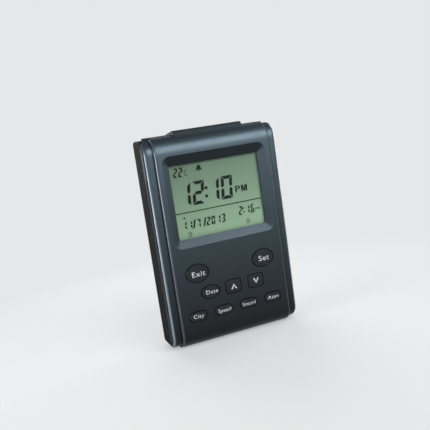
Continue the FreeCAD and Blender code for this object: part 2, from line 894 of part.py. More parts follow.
def quartz_crystal():
    """The clock crystal's can, lying on the board."""
    start = Vector(blob_x - crystal_length / 2, board_back_y + crystal_radius, crystal_z)
    can = rod(crystal_radius, start, ALONG_X, crystal_length)
    base = rod(crystal_base_radius, start, -ALONG_X, crystal_radius)
    return can.fuse(base)


def capacitors():
    """Two upright electrolytic cans."""
    cans = []
    for i in range(2):
        z = capacitor_z + i * capacitor_pitch
        can = rod_y(capacitor_radius, chip_x, z, board_back_y, board_back_y + capacitor_height)
        rim_edges = [e for e in can.Edges if e.BoundBox.YLength < layer_gap]
        cans.append(can.makeFillet(layer_gap * 3, rim_edges))
    return Part.makeCompound(cans)


def thermistor():
    """The temperature bead on its two wires."""
    centre = Vector(blob_x, board_back_y + bead_stand, bead_z)
    parts = [Part.makeSphere(bead_radius, centre)]
    for side in (-1, 1):
        x = blob_x + side * bead_radius / 2
        parts.append(rod_y(lead_width / 2, x, bead_z, board_back_y, board_back_y + bead_stand))
    return all_of(parts)


def key_mat():
    """The rubber mat with one contact dome under each key."""
    middle = (mat_bottom + mat_top) / 2
    outline = rectangle(0.0, middle, mat_width, mat_top - mat_bottom, board_corner, mat_front_y)
    parts = [slab_y(outline, mat_thickness)]
    rise = mat_front_y - dome_front_y
    for kind, x, z in KEYS.values():
        low = min(mat_dome_radius, KEY_SIZES[kind][1] / 2)
        cone = Part.makeCone(low, mat_dome_top_radius * low / mat_dome_radius, rise,
                             Vector(x, mat_front_y, z), -ALONG_Y)
        parts.append(cone)
    return all_of(parts)


def key(kind, x, z):
    """One key: a domed cap, the flange that keeps it in and the stem that meets the mat."""
    width = KEY_SIZES[kind][0]
    top_y = front_y - key_rise
    outer_y = top_y - key_dome
    cap = slab_y(key_outline(kind, x, z, 0.0, outer_y), flange_back_y - outer_y)
    radius = ((width / 2) ** 2 + key_dome**2) / (2 * key_dome)
    cap = cap.common(Part.makeSphere(radius, Vector(x, top_y + radius, z)))
    rims = [e for e in cap.Edges if e.BoundBox.YMax < flange_front_y]
    cap = cap.makeFillet(key_edge_radius, rims)
    flange = slab_y(key_outline(kind, x, z, key_flange, flange_front_y), key_flange_thickness)
    stem = rod_y(key_stem_radius, x, z, flange_back_y - layer_gap, stem_end_y)
    return all_of([cap, flange, stem])


# ---- snooze bar ----
def snooze_bar():
    """The long bar: a rounded nose, a crest that falls to the back, a flange and the switch stem."""
    x = bar_width / 2
    top = case_height + bar_rise
    low_front = Vector(-x, bar_front_y, bar_bottom)
    low_back = Vector(-x, bar_back_y, bar_bottom)
    high_back = Vector(-x, bar_back_y, case_height + bar_tail_rise)
    crest = Vector(-x, bar_front_y + bar_crest_setback, top)
    high_front = Vector(-x, bar_front_y, top)
    radii = [0.0, 0.0, bar_edge_radius, bar_crest_radius, bar_nose_radius]
    profile = rounded_wire([low_front, low_back, high_back, crest, high_front], radii)
    body = Part.Face(profile).extrude(ALONG_X * (2 * x))
    ends = [e for e in edges_at_x(body, x, bar_back_y) if e.BoundBox.ZMax > bar_bottom + layer_gap]
    body = body.makeFillet(bar_edge_radius, ends)
    flange = box(-x - bar_flange, x + bar_flange, bar_flange_front_y, bar_back_y + bar_flange,
                 bar_flange_bottom, bar_flange_top)
    low = plunger_top + bar_travel + mat_gap
    half_x = bar_stem_width / 2
    half_y = bar_stem_depth / 2
    stem = box(-half_x, half_x, switch_y - half_y, switch_y + half_y, low, bar_bottom + layer_gap)
    return all_of([body, flange, stem])


def snooze_switch():
    """The push switch on the board's top edge."""
    half = switch_width / 2
    body = box(-half, half, board_back_y, board_back_y + switch_depth, board_top - switch_height, board_top)
    root = Vector(0, switch_y, board_top - layer_gap)
    plunger = rod(plunger_radius, root, ALONG_Z, plunger_height + layer_gap)
    return body.fuse(plunger)


# ---- speaker ----
def speaker_frame():
    """The pressed steel basket, with four windows in its slope."""
    rim_r = speaker_radius
    neck_y = speaker_front_y + magnet_thickness
    flange_y = speaker_back_y - speaker_flange_thickness
    inner_r = rim_r - speaker_flange
    seat_r = magnet_radius + speaker_sheet
    points = [
        (rim_r, speaker_back_y),
        (inner_r, speaker_back_y),
        (inner_r, flange_y),
        (seat_r, neck_y + speaker_sheet),
        (0.0, neck_y + speaker_sheet),
        (0.0, neck_y),
        (seat_r + speaker_sheet, neck_y),
        (inner_r + speaker_sheet, flange_y - speaker_sheet / 2),
        (rim_r, flange_y),
    ]
    basket = turned(points, 0.0, speaker_z)
    low = neck_y + 2 * speaker_sheet
    high = flange_y - 2 * speaker_sheet
    half = magnet_radius / 3
    windows = [
        box(-rim_r, rim_r, low, high, speaker_z - half, speaker_z + half),
        box(-half, half, low, high, speaker_z - rim_r, speaker_z + rim_r),
    ]
    return basket.cut(windows)


def speaker_cone():
    """The paper cone with its rolled edge and dust cap."""
    edge_r = speaker_radius - speaker_flange - layer_gap
    neck_y = speaker_front_y + magnet_thickness + speaker_sheet
    rest_y = speaker_back_y - speaker_flange_thickness + cone_sheet
    throat_r = magnet_radius / 3
    roll = cone_sheet * 3
    points = [
        (edge_r, rest_y),
        (edge_r - roll, rest_y + cone_sheet),
        (edge_r - 2 * roll, rest_y - cone_sheet),
        (throat_r, neck_y + 2 * cone_sheet),
        (0.0, neck_y + 4 * cone_sheet),
        (0.0, neck_y + 3 * cone_sheet),
        (throat_r - cone_sheet, neck_y),
        (throat_r, neck_y),
        (edge_r - 2 * roll, rest_y - 2 * cone_sheet),
        (edge_r, rest_y - cone_sheet),
    ]
    return turned(points, 0.0, speaker_z)


def speaker_magnet():
    """The magnet and its back plate."""
    plate_y = speaker_front_y + speaker_sheet
    y1 = speaker_front_y + magnet_thickness
    magnet = rod_y(magnet_radius, 0.0, speaker_z, plate_y, y1)
    cap = rod_y(magnet_radius - speaker_sheet, 0.0, speaker_z, speaker_front_y, plate_y)
    return magnet.fuse(cap)


def speaker_leads():
    """The two insulated leads from the basket's rim to the board, with a little slack."""
    rim_z = speaker_z - speaker_radius + speaker_flange / 2
    foot_z = rim_z - speaker_wire_drop
    start_y = speaker_back_y - speaker_flange_thickness - speaker_sheet / 2
    middle_y = (start_y + board_back_y) / 2
    leads = []
    for x in (-speaker_wire_pitch / 2, speaker_wire_pitch / 2):
        route = [
            Vector(x, start_y, rim_z),
            Vector(x, middle_y, rim_z),
            Vector(x, middle_y, foot_z),
            Vector(x, board_back_y, foot_z),
        ]
        leads.append(bent_wire(route, speaker_wire_bend, speaker_wire_radius))
    return Part.makeCompound(leads)


# ---- battery parts ----
def cell_end(index):
    """The x of a cell and the height and direction of its positive end."""
    x = (index - 0.5) * cell_pitch
    if index == 0:
        return x, bay_top - contact_thickness, -1
    return x, bay_bottom + contact_thickness, 1


def battery_cells():
    """Two AAA cells that lie head to tail."""
    cells = []
    for index in range(2):
        x, z, way = cell_end(index)
        nub = rod(nub_radius, Vector(x, cell_y, z), ALONG_Z * way, nub_height)
        shoulder = Vector(x, cell_y, z + way * nub_height)
        can = rod(cell_radius, shoulder, ALONG_Z * way, cell_length - nub_height)
        ends = [e for e in can.Edges if e.BoundBox.ZLength < layer_gap]
        cells.append(can.makeFillet(layer_gap * 4, ends).fuse(nub))
    return Part.makeCompound(cells)


def spring_coil(height):
    """A conical coil of short straight lengths of wire, whose middle climbs from z 0 to a height."""
    steps = round(spring_turns * spring_steps)
    sections = []
    for i in range(steps + 1):
        share = i / steps
        angle = 2 * math.pi * spring_turns * share
        outwards = Vector(math.cos(angle), math.sin(angle), 0)
        radius = spring_radius + (spring_tip_radius - spring_radius) * share
        centre = outwards * radius + ALONG_Z * (height * share)
        ring = []
        for k in range(wire_sides):
            turn = 2 * math.pi * k / wire_sides
            spoke = outwards * math.cos(turn) + ALONG_Z * math.sin(turn)
            ring.append(centre + spoke * (spring_wire / 2))
        sections.append(Part.makePolygon(ring + ring[:1]))
    return Part.makeLoft(sections, True, True)


def battery_springs():
    """The coiled springs at the two negative ends."""
    springs = []
    for index in range(2):
        x, z, way = cell_end(index)
        cell_foot = z + way * cell_length
        plate_z = (bay_bottom + contact_thickness) if way < 0 else (bay_top - contact_thickness)
        coil = spring_coil(abs(cell_foot - plate_z) - spring_wire)
        turn = 0 if way < 0 else 180
        coil.rotate(Vector(0, 0, 0), ALONG_X, turn)
        coil.translate(Vector(x, cell_y, plate_z - way * spring_wire / 2))
        springs.append(coil)
    return Part.makeCompound(springs)


def contact_tails(grow):
    """The tongues that run from the two lower contact plates through the tub floor to the board."""
    half = contact_tail_width / 2 + grow
    tails = []
    for x in (-cell_pitch / 2, cell_pitch / 2):
        tails.append(box(x - half, x + half, board_back_y, cell_y, bay_bottom - grow,
                         bay_bottom + contact_thickness + grow))
    return tails


def battery_contacts():
    """The plate that joins the cells at the top and the two plates with tails at the bottom."""
    half = contact_width / 2
    y0 = cell_y - half
    y1 = cell_y + half
    reach = cell_pitch / 2 + half
    bridge = box(-reach, reach, y0, y1, bay_top - contact_thickness, bay_top)
    plates = [bridge]
    for x, tail in zip((-cell_pitch / 2, cell_pitch / 2), contact_tails(0.0)):
        plate_low = box(x - half, x + half, y0, y1, bay_bottom, bay_bottom + contact_thickness)
        plates.append(plate_low.fuse(tail).removeSplitter())
    return Part.makeCompound(plates)


def battery_door():
    """The door: a round hinge edge on top, two tabs that hook behind the wall and a grip."""
    x = door_half_width
    seat_y = back_y - door_thickness
    panel = box(-x, x, seat_y, back_y, door_bottom, hinge_z)
    edge = rod(door_thickness / 2, Vector(-x, hinge_y, hinge_z), ALONG_X, 2 * x)
    parts = [panel, edge]
    for side in (-1, 1):
        tab_x = side * door_tab_x
        half = door_tab_width / 2
        parts.append(box(tab_x - half, tab_x + half, seat_y - door_tab_thickness, seat_y,
                         hinge_z - door_tab_foot, hinge_z + door_tab_reach))
    door = all_of(parts)
    grooves = []
    half = door_grip_width / 2
    for i in range(4):
        z = door_bottom + (i + 1) * door_grip_pitch
        floor = back_y - door_grip_depth
        grooves.append(box(-half, half, floor, back_y + overrun, z, z + door_grip_pitch / 2))
    return door.cut(grooves)


# ---- stand ----
def stand_leg():
    """The U-shaped stand: two arms with pins and heels, and a foot bar."""
    outer_w = leg_outer_width
    top = leg_pivot_z + leg_tail
    middle = (leg_foot_z + top) / 2
    outside = rectangle(0.0, middle, outer_w, top - leg_foot_z, leg_corner, leg_front_y)
    inner_low = leg_foot_z + leg_foot_height
    inner_top = top + leg_foot_height
    inner_z = (inner_low + inner_top) / 2
    inside = rectangle(0.0, inner_z, leg_inner_width, inner_top - inner_low, leg_corner / 2, leg_front_y)
    leg = slab_y(outside, leg_thickness).cut(slab_y(inside, leg_thickness))
    pins = []
    for side in (-1, 1):
        start = Vector(side * (outer_w / 2 - leg_arm_width / 2), leg_axis_y, leg_pivot_z)
        pins.append(rod(pivot_pin_radius, start, ALONG_X * side, leg_arm_width / 2 + pivot_pin_length))
    return all_of([leg] + pins)


# ---- screws ----
def screw(x, z, seat_y, radius, head_radius, head_height, length):
    """A round-headed screw driven from the back, with a cross in its head."""
    shank = rod_y(radius, x, z, seat_y - length, seat_y)
    head = rod_y(head_radius, x, z, seat_y, seat_y + head_height)
    flat = [e for e in head.Edges if e.BoundBox.YLength < layer_gap]
    rims = [e for e in flat if e.BoundBox.YMin > seat_y + head_height / 2]
    head = head.makeFillet(head_height / 2, rims)
    half = cross_width / 2
    reach = head_radius * cross_share
    y0 = seat_y + head_height / 2
    y1 = seat_y + 2 * head_height
    cross = box(x - reach, x + reach, y0, y1, z - half, z + half)
    cross = cross.fuse(box(x - half, x + half, y0, y1, z - reach, z + reach))
    return shank.fuse(head).cut(cross)


def housing_screws():
    """The four long screws that close the case."""
    return Part.makeCompound([
        screw(x, z, screw_seat_y, screw_radius, screw_head_radius, screw_head_height, screw_length)
        for x, z in SCREW_PLACES
    ])


def board_screws():
    """The six short screws that hold the board to the cover."""
    return Part.makeCompound([
        screw(x, z, board_back_y, board_screw_radius, board_screw_head_radius, board_screw_head_height,
              board_screw_length)
        for x, z in BOARD_POSTS
    ])


NODES = {
    "front_cover": front_cover,
    "rear_housing": rear_housing,
    "display_window": display_window,
    "lcd_panel": lcd_panel,
    "lcd_backlight": lcd_backlight,
    "backlight_leds": backlight_leds,
    "lcd_frame": lcd_frame,
    "zebra_strips": zebra_strips,
    "main_board": main_board,
    "controller_blob": controller_blob,
    "voice_chip": voice_chip,
    "quartz_crystal": quartz_crystal,
    "capacitors": capacitors,
    "thermistor": thermistor,
    "key_mat": key_mat,
    "snooze_bar": snooze_bar,
    "snooze_switch": snooze_switch,
    "speaker_frame": speaker_frame,
    "speaker_cone": speaker_cone,
    "speaker_magnet": speaker_magnet,
    "speaker_leads": speaker_leads,
    "battery_cells": battery_cells,
    "battery_springs": battery_springs,
    "battery_contacts": battery_contacts,
    "battery_door": battery_door,
    "stand_leg": stand_leg,
    "housing_screws": housing_screws,
    "board_screws": board_screws,
}

os.makedirs("parts", exist_ok=True)
for node, make in NODES.items():
    make().exportStep("parts/" + node + ".step")
for node, (kind, key_x, key_z) in KEYS.items():
    key(kind, key_x, key_z).exportStep("parts/" + node + ".step")
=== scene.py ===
import bmesh
import bpy
import functools
import json
import math
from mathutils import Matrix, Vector
from mathutils.bvhtree import BVHTree


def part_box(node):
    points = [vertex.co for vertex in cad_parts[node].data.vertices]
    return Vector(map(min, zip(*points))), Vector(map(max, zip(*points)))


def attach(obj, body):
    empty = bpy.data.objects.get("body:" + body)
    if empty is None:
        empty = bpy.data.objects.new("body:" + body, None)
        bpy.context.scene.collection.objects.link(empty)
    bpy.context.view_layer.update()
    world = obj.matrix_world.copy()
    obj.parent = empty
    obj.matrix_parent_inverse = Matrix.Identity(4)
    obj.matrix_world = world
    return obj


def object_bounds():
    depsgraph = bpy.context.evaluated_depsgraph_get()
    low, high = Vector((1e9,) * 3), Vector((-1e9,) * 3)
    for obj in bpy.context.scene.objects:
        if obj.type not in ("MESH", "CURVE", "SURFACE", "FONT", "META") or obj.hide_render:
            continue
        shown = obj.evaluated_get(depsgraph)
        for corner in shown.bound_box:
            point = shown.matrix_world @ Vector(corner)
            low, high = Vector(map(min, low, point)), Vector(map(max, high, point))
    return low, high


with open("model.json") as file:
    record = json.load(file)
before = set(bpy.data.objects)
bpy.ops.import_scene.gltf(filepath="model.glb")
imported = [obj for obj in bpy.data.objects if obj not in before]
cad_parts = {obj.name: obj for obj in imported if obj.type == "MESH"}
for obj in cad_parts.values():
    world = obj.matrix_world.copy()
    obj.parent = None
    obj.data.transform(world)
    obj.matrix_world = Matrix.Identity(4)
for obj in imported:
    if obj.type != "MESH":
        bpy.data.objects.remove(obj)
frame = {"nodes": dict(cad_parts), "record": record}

# The looks of a desk azan clock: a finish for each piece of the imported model, the figures on the
# display and the key legends, with a floor, lamps and a camera. Lengths are in metres, and MM turns
# a size in millimetres into metres. X runs to the right, Y away from the reader and Z up.

MM = 0.001
CAD_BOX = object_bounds()


# --------------------------------------------------------------------------- sizes

# The display, in millimetres from its middle. Ink stands proud of the glass by its rise and is sunk
# into it a little. Each figure leans to the right from the left end of its foot, which is given.
INK_RISE = 0.03
INK_SUNK = 0.02
FIGURE_LEAN = math.radians(5.3)

BIG_HEIGHT = 13.6
BIG_WIDTH = 7.2
BIG_STROKE = 1.95
BIG_FOOT = -2.9
BIG_FIGURES = (("1", -24.2), ("2", -15.8), ("1", -6.35), ("0", 2.1))
BIG_COLON_X = -7.0
BIG_COLON_Z = (1.0, 5.8)
BIG_DOT = 1.9

SMALL_WIDTH = 2.5
SMALL_STROKE = 1.0

DATE_HEIGHT = 4.9
DATE_FOOT = -16.1
DATE_FIGURES = (
    ("1", -24.3), ("1", -20.8), ("7", -15.6), ("2", -9.5), ("0", -6.4), ("1", -3.1), ("3", 0.1),
)
DATE_SLASHES = (-18.0, -11.4)
DATE_SLASH_RUN = 1.3

PRAYER_HEIGHT = 5.2
PRAYER_FOOT = -14.1
PRAYER_FIGURES = (("2", 11.6), ("1", 16.2), ("6", 19.4))
PRAYER_COLON_X = 15.1
PRAYER_COLON_Z = (-12.6, -10.4)
PRAYER_DOT = 0.9

WARMTH_HEIGHT = 5.4
WARMTH_FOOT = 14.4
WARMTH_FIGURES = (("2", -25.2), ("2", -22.2))

RULE_Z = -6.35
RULE_WEIGHT = 0.58
RULE_LENGTH = 55.0

# Words on the display: (words, left end, foot, width, height), or the last four for PM.
DEGREES = ("°C", -19.4, 14.8, 2.5, 3.2)
HALF_DAYS = {"half_day": (11.5, -0.2, 7.7, 3.8), "prayer_half_day": (22.7, -12.6, 2.9, 1.1)}

# The letters PM: how much bolder P is than the other letters. Shares of the width: what P takes,
# where M starts and the weight of its strokes. Shares of the height: where the sides of the M meet
# its slopes, and the notch between the slopes. In strokes: half the foot of the slopes and the
# width of their tops.
P_WEIGHT = 1.6
P_SHARE = 0.42
M_START = 0.5
M_STROKE = 0.13
M_MEETING = 0.62
M_NOTCH = 0.33
M_HALF_FOOT = 0.45
M_TOP = 1.35

# Small marks on the display: the middle of the bell's clapper, the bell's outline from there and
# the clapper's radius; the lower left corner and the length of each bar, and their weight; the
# middle and the radius of the dot.
BELL = (-9.3, 16.3)
BELL_OUTLINE = (
    (-1.9, 0.5), (1.9, 0.5), (1.9, 0.95), (1.35, 1.3), (1.2, 2.4), (0.75, 3.0), (0.25, 3.25),
    (0.25, 3.6), (-0.25, 3.6), (-0.25, 3.25), (-0.75, 3.0), (-1.2, 2.4), (-1.35, 1.3), (-1.9, 0.95),
)
BELL_CLAPPER = 0.4
MARK_BARS = (
    (-21.6, -18.5, 2.6), (-21.0, -19.5, 1.9), (-21.6, -20.5, 2.6),
    (16.2, -17.6, 1.7), (15.9, -18.6, 2.5), (15.9, -19.6, 2.1),
)
MARK_BAR_WEIGHT = 0.4
MARK_DOT = (-22.4, -9.4, 0.55)

# Words on the keys, in millimetres in the shared frame: (word, left end, foot, width, height).
KEY_WORDS = {
    "exit_key": ("Exit", -24.6, 41.9, 8.2, 3.1),
    "set_key": ("Set", 18.2, 42.2, 6.8, 3.2),
    "date_key": ("Date", -17.6, 30.2, 7.4, 2.2),
    "city_key": ("City", -27.4, 17.7, 6.4, 2.2),
    "speech_key": ("Speech", -11.8, 17.4, 8.6, 2.2),
    "sound_key": ("Sound", 3.9, 17.6, 8.6, 2.1),
    "azan_key": ("Azan", 20.7, 17.7, 7.4, 2.1),
}

# The chevrons on the arrow keys: whether each points up, its size, the width of its feet, and how
# deep its point is in such widths.
ARROWS = {"up_key": True, "down_key": False}
ARROW_WIDTH = 3.9
ARROW_HEIGHT = 3.2
ARROW_STROKE = 1.1
ARROW_NOTCH = 1.25

# Lettering: the rise and the sink of the ink on a key, in millimetres; how much the font is
# fattened and spaced out; and the pitch of the cuts that let flat letters follow a domed key.
LEGEND_RISE = 0.04
LEGEND_SUNK = 0.06
LETTER_WEIGHT = 0.01
LETTER_GAP = 1.12
LAY_PITCH = 0.5

# A limit is (start, end): a tone grows from none at the start to full at the end.

# The lacquer of the cover, in millimetres: the size of its flakes, how far its end frays, and the
# limit of the height over which its painted shade, darker towards the bottom, fades out.
FLAKE = 0.22
SPRAY_FRAY = 0.2
PAINTED_SHADE_HEIGHTS = (5.0, 108.0)

# Limits inwards from the outermost side, in millimetres: the end of the lacquer, the painted
# highlight on the rail's edge, and both sides of the panel's painted edge highlight and of the
# painted shade in the groove between them, whose tones aren't full.
SPRAY_EDGE = (0.4, 0.2)
RAIL_HIGHLIGHT = (1.8, 1.1)
PANEL_HIGHLIGHT = ((7.1, 6.6), (5.6, 5.9))
PANEL_HIGHLIGHT_SHARE = 0.28
GROOVE_SHADE = ((5.7, 5.6), (4.4, 5.1))
GROOVE_SHADE_SHARE = 0.7

# How metallic and how rough the lacquer is, how far its roughness strays, the clear layer over it,
# and how rough the bare moulding is.
COAT_METAL = 0.7
COAT_ROUGHNESS = 0.4
COAT_POLISH = 0.04
CLEAR_WEIGHT = 0.06
CLEAR_ROUGHNESS = 0.2
BARE_ROUGHNESS = 0.8

# The painted shade under the brow of the display recess: limits of its height, of the distance
# from the middle and of how far it faces down.
BROW_FOOT = (105.7, 106.7)
BROW_TOP = (113.3, 112.9)
BROW_SIDE = (32.8, 32.0)
BROW_FACING = (-0.1, -0.36)

# The painted shade on the walls of the key openings: limits of the field of the keys and of the
# depth from the front.
FIELD_FOOT = (13.5, 14.5)
FIELD_TOP = (50.5, 49.5)
FIELD_SIDE = (33.5, 32.5)
WALL_DEPTH = (0.1, 0.3)

# The shade close round the keys, in millimetres: the reach of a key's flange beyond its cap, where
# beyond the cap the shade is gone and full, how dark full is, as a share, and the corners of the
# caps, where None is an oval.
KEY_FLANGE = 0.9
KEY_SHADE = (0.75, 0.3)
KEY_SHADE_SHARE = 0.8
KEY_CORNERS = {
    "exit_key": None, "set_key": None, "date_key": None, "up_key": 1.5, "down_key": 1.5,
    "city_key": 2.3, "speech_key": 2.3, "sound_key": 2.3, "azan_key": 2.3,
}

# Limits of how far the housing faces sideways where painted shade darkens it, and of how far a
# key's surface faces away from the reader where its edge gets painted shade.
SIDE_SHADE_FACING = (0.6, 0.9)
KEY_EDGE_SHADE_FACING = (-0.95, -0.8)

# The glass, in millimetres in from its foot and its top: where its painted shade, darker towards
# the top, starts and ends.
# The window over it hides this share of what lies behind.
GLASS_SHADE_FADE = (6.0, 4.0)
WINDOW_COVER = 0.1

# The board: the pitch of its weave and of its copper runs, in millimetres, and the limits of the
# patterns that draw the runs.
WEAVE_PITCH = 0.5
RUN_PITCH = 3.1
RUNS_ACROSS = (0.78, 0.84)
RUNS_ALONG = (0.53, 0.55)

# The cells, as limits in millimetres: the amber band and the bare end, from an end. The partings
# between the two cells and between the two leads of the speaker, from their middle.
CELL_BAND = (15.0, 14.9)
CELL_END = (3.55, 3.5)
CELL_PARTING = (-0.1, 0.1)
LEAD_PARTING = (-0.05, 0.05)

# The surroundings, in metres. The floor has a share of the background's tone close by, its lift,
# and runs out into it between two distances. The room gives an even light. The sky darkens between
# two heights, from 0 to 1.
FLOOR_SIZE = 8.0
FLOOR_FADE = (0.08, 0.24)
FLOOR_LIFT = 0.45
ROOM_LIGHT = 0.22
SKY_HEIGHTS = (0.5, 0.85)

# Softboxes: (name, place, aim, width, height, watts).
LAMPS = (
    ("front_softbox", (0.095, -0.240, 0.245), (0, 0, 0.10), 0.30, 0.18, 1.0),
    ("left_softbox", (-0.418, -0.044, 0.075), (0, 0, 0.05), 0.10, 0.20, 2.4),
    ("right_softbox", (0.44, 0.17, 0.12), (0, 0, 0.05), 0.16, 0.20, 1.3),
    ("back_softbox", (0, 0.46, 0.20), (0, 0, 0.06), 0.50, 0.30, 3.2),
)

# The camera: its place in metres, its turn in degrees, and its lens and sensor in millimetres.
CAMERA_PLACE = (-0.12607, -0.33073, 0.12962)
CAMERA_TURN = (80.83, 8.175, -22.039)
CAMERA_LENS = 50.23
CAMERA_SENSOR = 36


# --------------------------------------------------------------------------- finishes


def tint(red, green, blue):
    """A display colour from 0 to 255 as the linear colour that a shader takes."""

    def linear(value):
        value /= 255
        return value / 12.92 if value <= 0.04045 else ((value + 0.055) / 1.055) ** 2.4

    return (linear(red), linear(green), linear(blue), 1.0)


BACKGROUND = tint(230, 231, 232)
UPPER_SKY = tint(70, 72, 76)
DAYLIGHT = tint(250, 252, 255)

# A wave texture of scale 1 repeats after this length.
WAVE_LENGTH = math.pi / 10

# Most of a cloudy pattern lies between these values.
CLOUD = (0.3, 0.7)

# How far the roughness of a plain moulding, and of a metal, strays from its middle value.
MOULDING_GLOSS = (-0.06, 0.06)
METAL_GLOSS = (-0.06, 0.08)


class Finish:
    """A material that is being put together: its nodes, its shader and its coordinates."""

    def __init__(self, name, metallic=0.0, roughness=0.5, specular=0.5):
        self.material = bpy.data.materials.new(name)
        self.material.use_nodes = True
        self.nodes = self.material.node_tree.nodes
        self.links = self.material.node_tree.links
        self.shader = self.nodes["Principled BSDF"]
        self.shader.inputs["Metallic"].default_value = metallic
        self.shader.inputs["Roughness"].default_value = roughness
        self.shader.inputs["Specular IOR Level"].default_value = specular
        self.place = self.nodes.new("ShaderNodeTexCoord").outputs["Object"]

    def noise(self, size, detail=3.0, stretch=(1, 1, 1)):
        """Cloudy pattern of the given grain, in millimetres."""
        mapping = self.nodes.new("ShaderNodeMapping")
        mapping.inputs["Scale"].default_value = stretch
        pattern = self.nodes.new("ShaderNodeTexNoise")
        pattern.inputs["Scale"].default_value = 1 / (size * MM)
        pattern.inputs["Detail"].default_value = detail
        self.links.new(self.place, mapping.inputs["Vector"])
        self.links.new(mapping.outputs["Vector"], pattern.inputs["Vector"])
        return pattern.outputs["Fac"]

    def cells(self, size):
        """Random tone for each small cell, as in metal flake."""
        pattern = self.nodes.new("ShaderNodeTexVoronoi")
        pattern.inputs["Scale"].default_value = 1 / (size * MM)
        grey = self.nodes.new("ShaderNodeRGBToBW")
        self.links.new(self.place, pattern.inputs["Vector"])
        self.links.new(pattern.outputs["Color"], grey.inputs["Color"])
        return grey.outputs["Val"]

    def stripes(self, pitch, direction="Z", profile="SIN"):
        """Straight bands of the given pitch, in millimetres, across one axis."""
        pattern = self.nodes.new("ShaderNodeTexWave")
        pattern.bands_direction = direction
        pattern.wave_profile = profile
        pattern.inputs["Scale"].default_value = WAVE_LENGTH / (pitch * MM)
        pattern.inputs["Distortion"].default_value = 0.0
        self.links.new(self.place, pattern.inputs["Vector"])
        return pattern.outputs["Fac"]

    def rings(self, pitch, centre):
        """Round bands of the given pitch, in millimetres, about an axis along Y."""
        mapping = self.nodes.new("ShaderNodeMapping")
        mapping.inputs["Location"].default_value = [-value for value in centre]
        pattern = self.nodes.new("ShaderNodeTexWave")
        pattern.wave_type = "RINGS"
        pattern.rings_direction = "Y"
        pattern.inputs["Scale"].default_value = WAVE_LENGTH / (pitch * MM)
        pattern.inputs["Distortion"].default_value = 0.0
        self.links.new(self.place, mapping.inputs["Vector"])
        self.links.new(mapping.outputs["Vector"], pattern.inputs["Vector"])
        return pattern.outputs["Fac"]

    def axis(self, name):
        """One coordinate of the surface, in metres."""
        parts = self.nodes.new("ShaderNodeSeparateXYZ")
        self.links.new(self.place, parts.inputs["Vector"])
        return parts.outputs[name]

    def facing(self, name):
        """How far the surface faces along one axis, from -1 to 1."""
        parts = self.nodes.new("ShaderNodeSeparateXYZ")
        self.links.new(self.place.node.outputs["Normal"], parts.inputs["Vector"])
        return parts.outputs[name]

    def span(self, value, start, end, low=0.0, high=1.0):
        """The value taken from start..end to low..high, and held there."""
        span = self.nodes.new("ShaderNodeMapRange")
        self.links.new(value, span.inputs["Value"])
        limits = {"From Min": start, "From Max": end, "To Min": low, "To Max": high}
        for socket, number in limits.items():
            span.inputs[socket].default_value = number
        return span.outputs["Result"]

    def faded(self, share, top):
        """A share from 0 to 1 taken down to 0 to top."""
        return self.span(share, 0.0, 1.0, 0.0, top)

    def calculate(self, operation, first, second=0.0):
        """One value from one or two values, each a number or from another node."""
        node = self.nodes.new("ShaderNodeMath")
        node.operation = operation
        for socket, value in zip(node.inputs, (first, second)):
            if isinstance(value, float):
                socket.default_value = value
            else:
                self.links.new(value, socket)
        return node.outputs["Value"]

    def joined(self, operation, values):
        """One value from a list of values, joined two by two."""
        return functools.reduce(lambda one, other: self.calculate(operation, one, other), values)

    def within(self, *limits):
        """The share, from 0 to 1, that meets every limit (value, (start, end)), in millimetres."""
        shares = [self.span(value, start * MM, end * MM) for value, (start, end) in limits]
        return self.joined("MULTIPLY", shares)

    def vector(self, operation, first, second=(0, 0, 0)):
        """One vector from a vector and three fixed numbers, or its length."""
        node = self.nodes.new("ShaderNodeVectorMath")
        node.operation = operation
        self.links.new(first, node.inputs[0])
        node.inputs[1].default_value = second
        return node.outputs["Value" if operation == "LENGTH" else "Vector"]

    def mix(self, share, first, second):
        """A colour between two colours, each fixed or from another node."""
        mix = self.nodes.new("ShaderNodeMix")
        mix.data_type = "RGBA"
        self.links.new(share, mix.inputs["Factor"])
        for socket, colour in ((mix.inputs[6], first), (mix.inputs[7], second)):
            if isinstance(colour, tuple):
                socket.default_value = colour
            else:
                self.links.new(colour, socket)
        return mix.outputs[2]

    def colour(self, source):
        """Base colour from a node."""
        self.links.new(source, self.shader.inputs["Base Color"])

    def gloss(self, pattern, low, high):
        """Roughness that follows a pattern."""
        self.links.new(self.span(pattern, *CLOUD, low, high), self.shader.inputs["Roughness"])

    def relief(self, *layers):
        """Bump from (pattern, depth in millimetres) layers, one on another."""
        normal = None
        for pattern, depth in layers:
            bump = self.nodes.new("ShaderNodeBump")
            bump.inputs["Distance"].default_value = depth * MM
            self.links.new(pattern, bump.inputs["Height"])
            if normal:
                self.links.new(normal, bump.inputs["Normal"])
            normal = bump.outputs["Normal"]
        self.links.new(normal, self.shader.inputs["Normal"])


def key_shade(finish, node, corner):
    """1 close round a key, seen from the front, and 0 further out. An oval is squeezed round."""
    low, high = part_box(node)
    middle = (low + high) / 2
    half_x, half_z = ((high[axis] - low[axis]) / 2 - KEY_FLANGE * MM for axis in (0, 2))
    squeeze = 1.0 if corner else half_z / half_x
    round_off = corner * MM if corner else half_z
    mapping = finish.nodes.new("ShaderNodeMapping")
    mapping.inputs["Scale"].default_value = (squeeze, 0, 1)
    mapping.inputs["Location"].default_value = (-middle.x * squeeze, 0, -middle.z)
    finish.links.new(finish.place, mapping.inputs["Vector"])
    core = (half_x * squeeze - round_off, 0, half_z - round_off)
    outward = finish.vector("SUBTRACT", finish.vector("ABSOLUTE", mapping.outputs["Vector"]), core)
    distance = finish.vector("LENGTH", finish.vector("MAXIMUM", outward))
    return finish.span(distance, *(round_off + reach * MM for reach in KEY_SHADE))


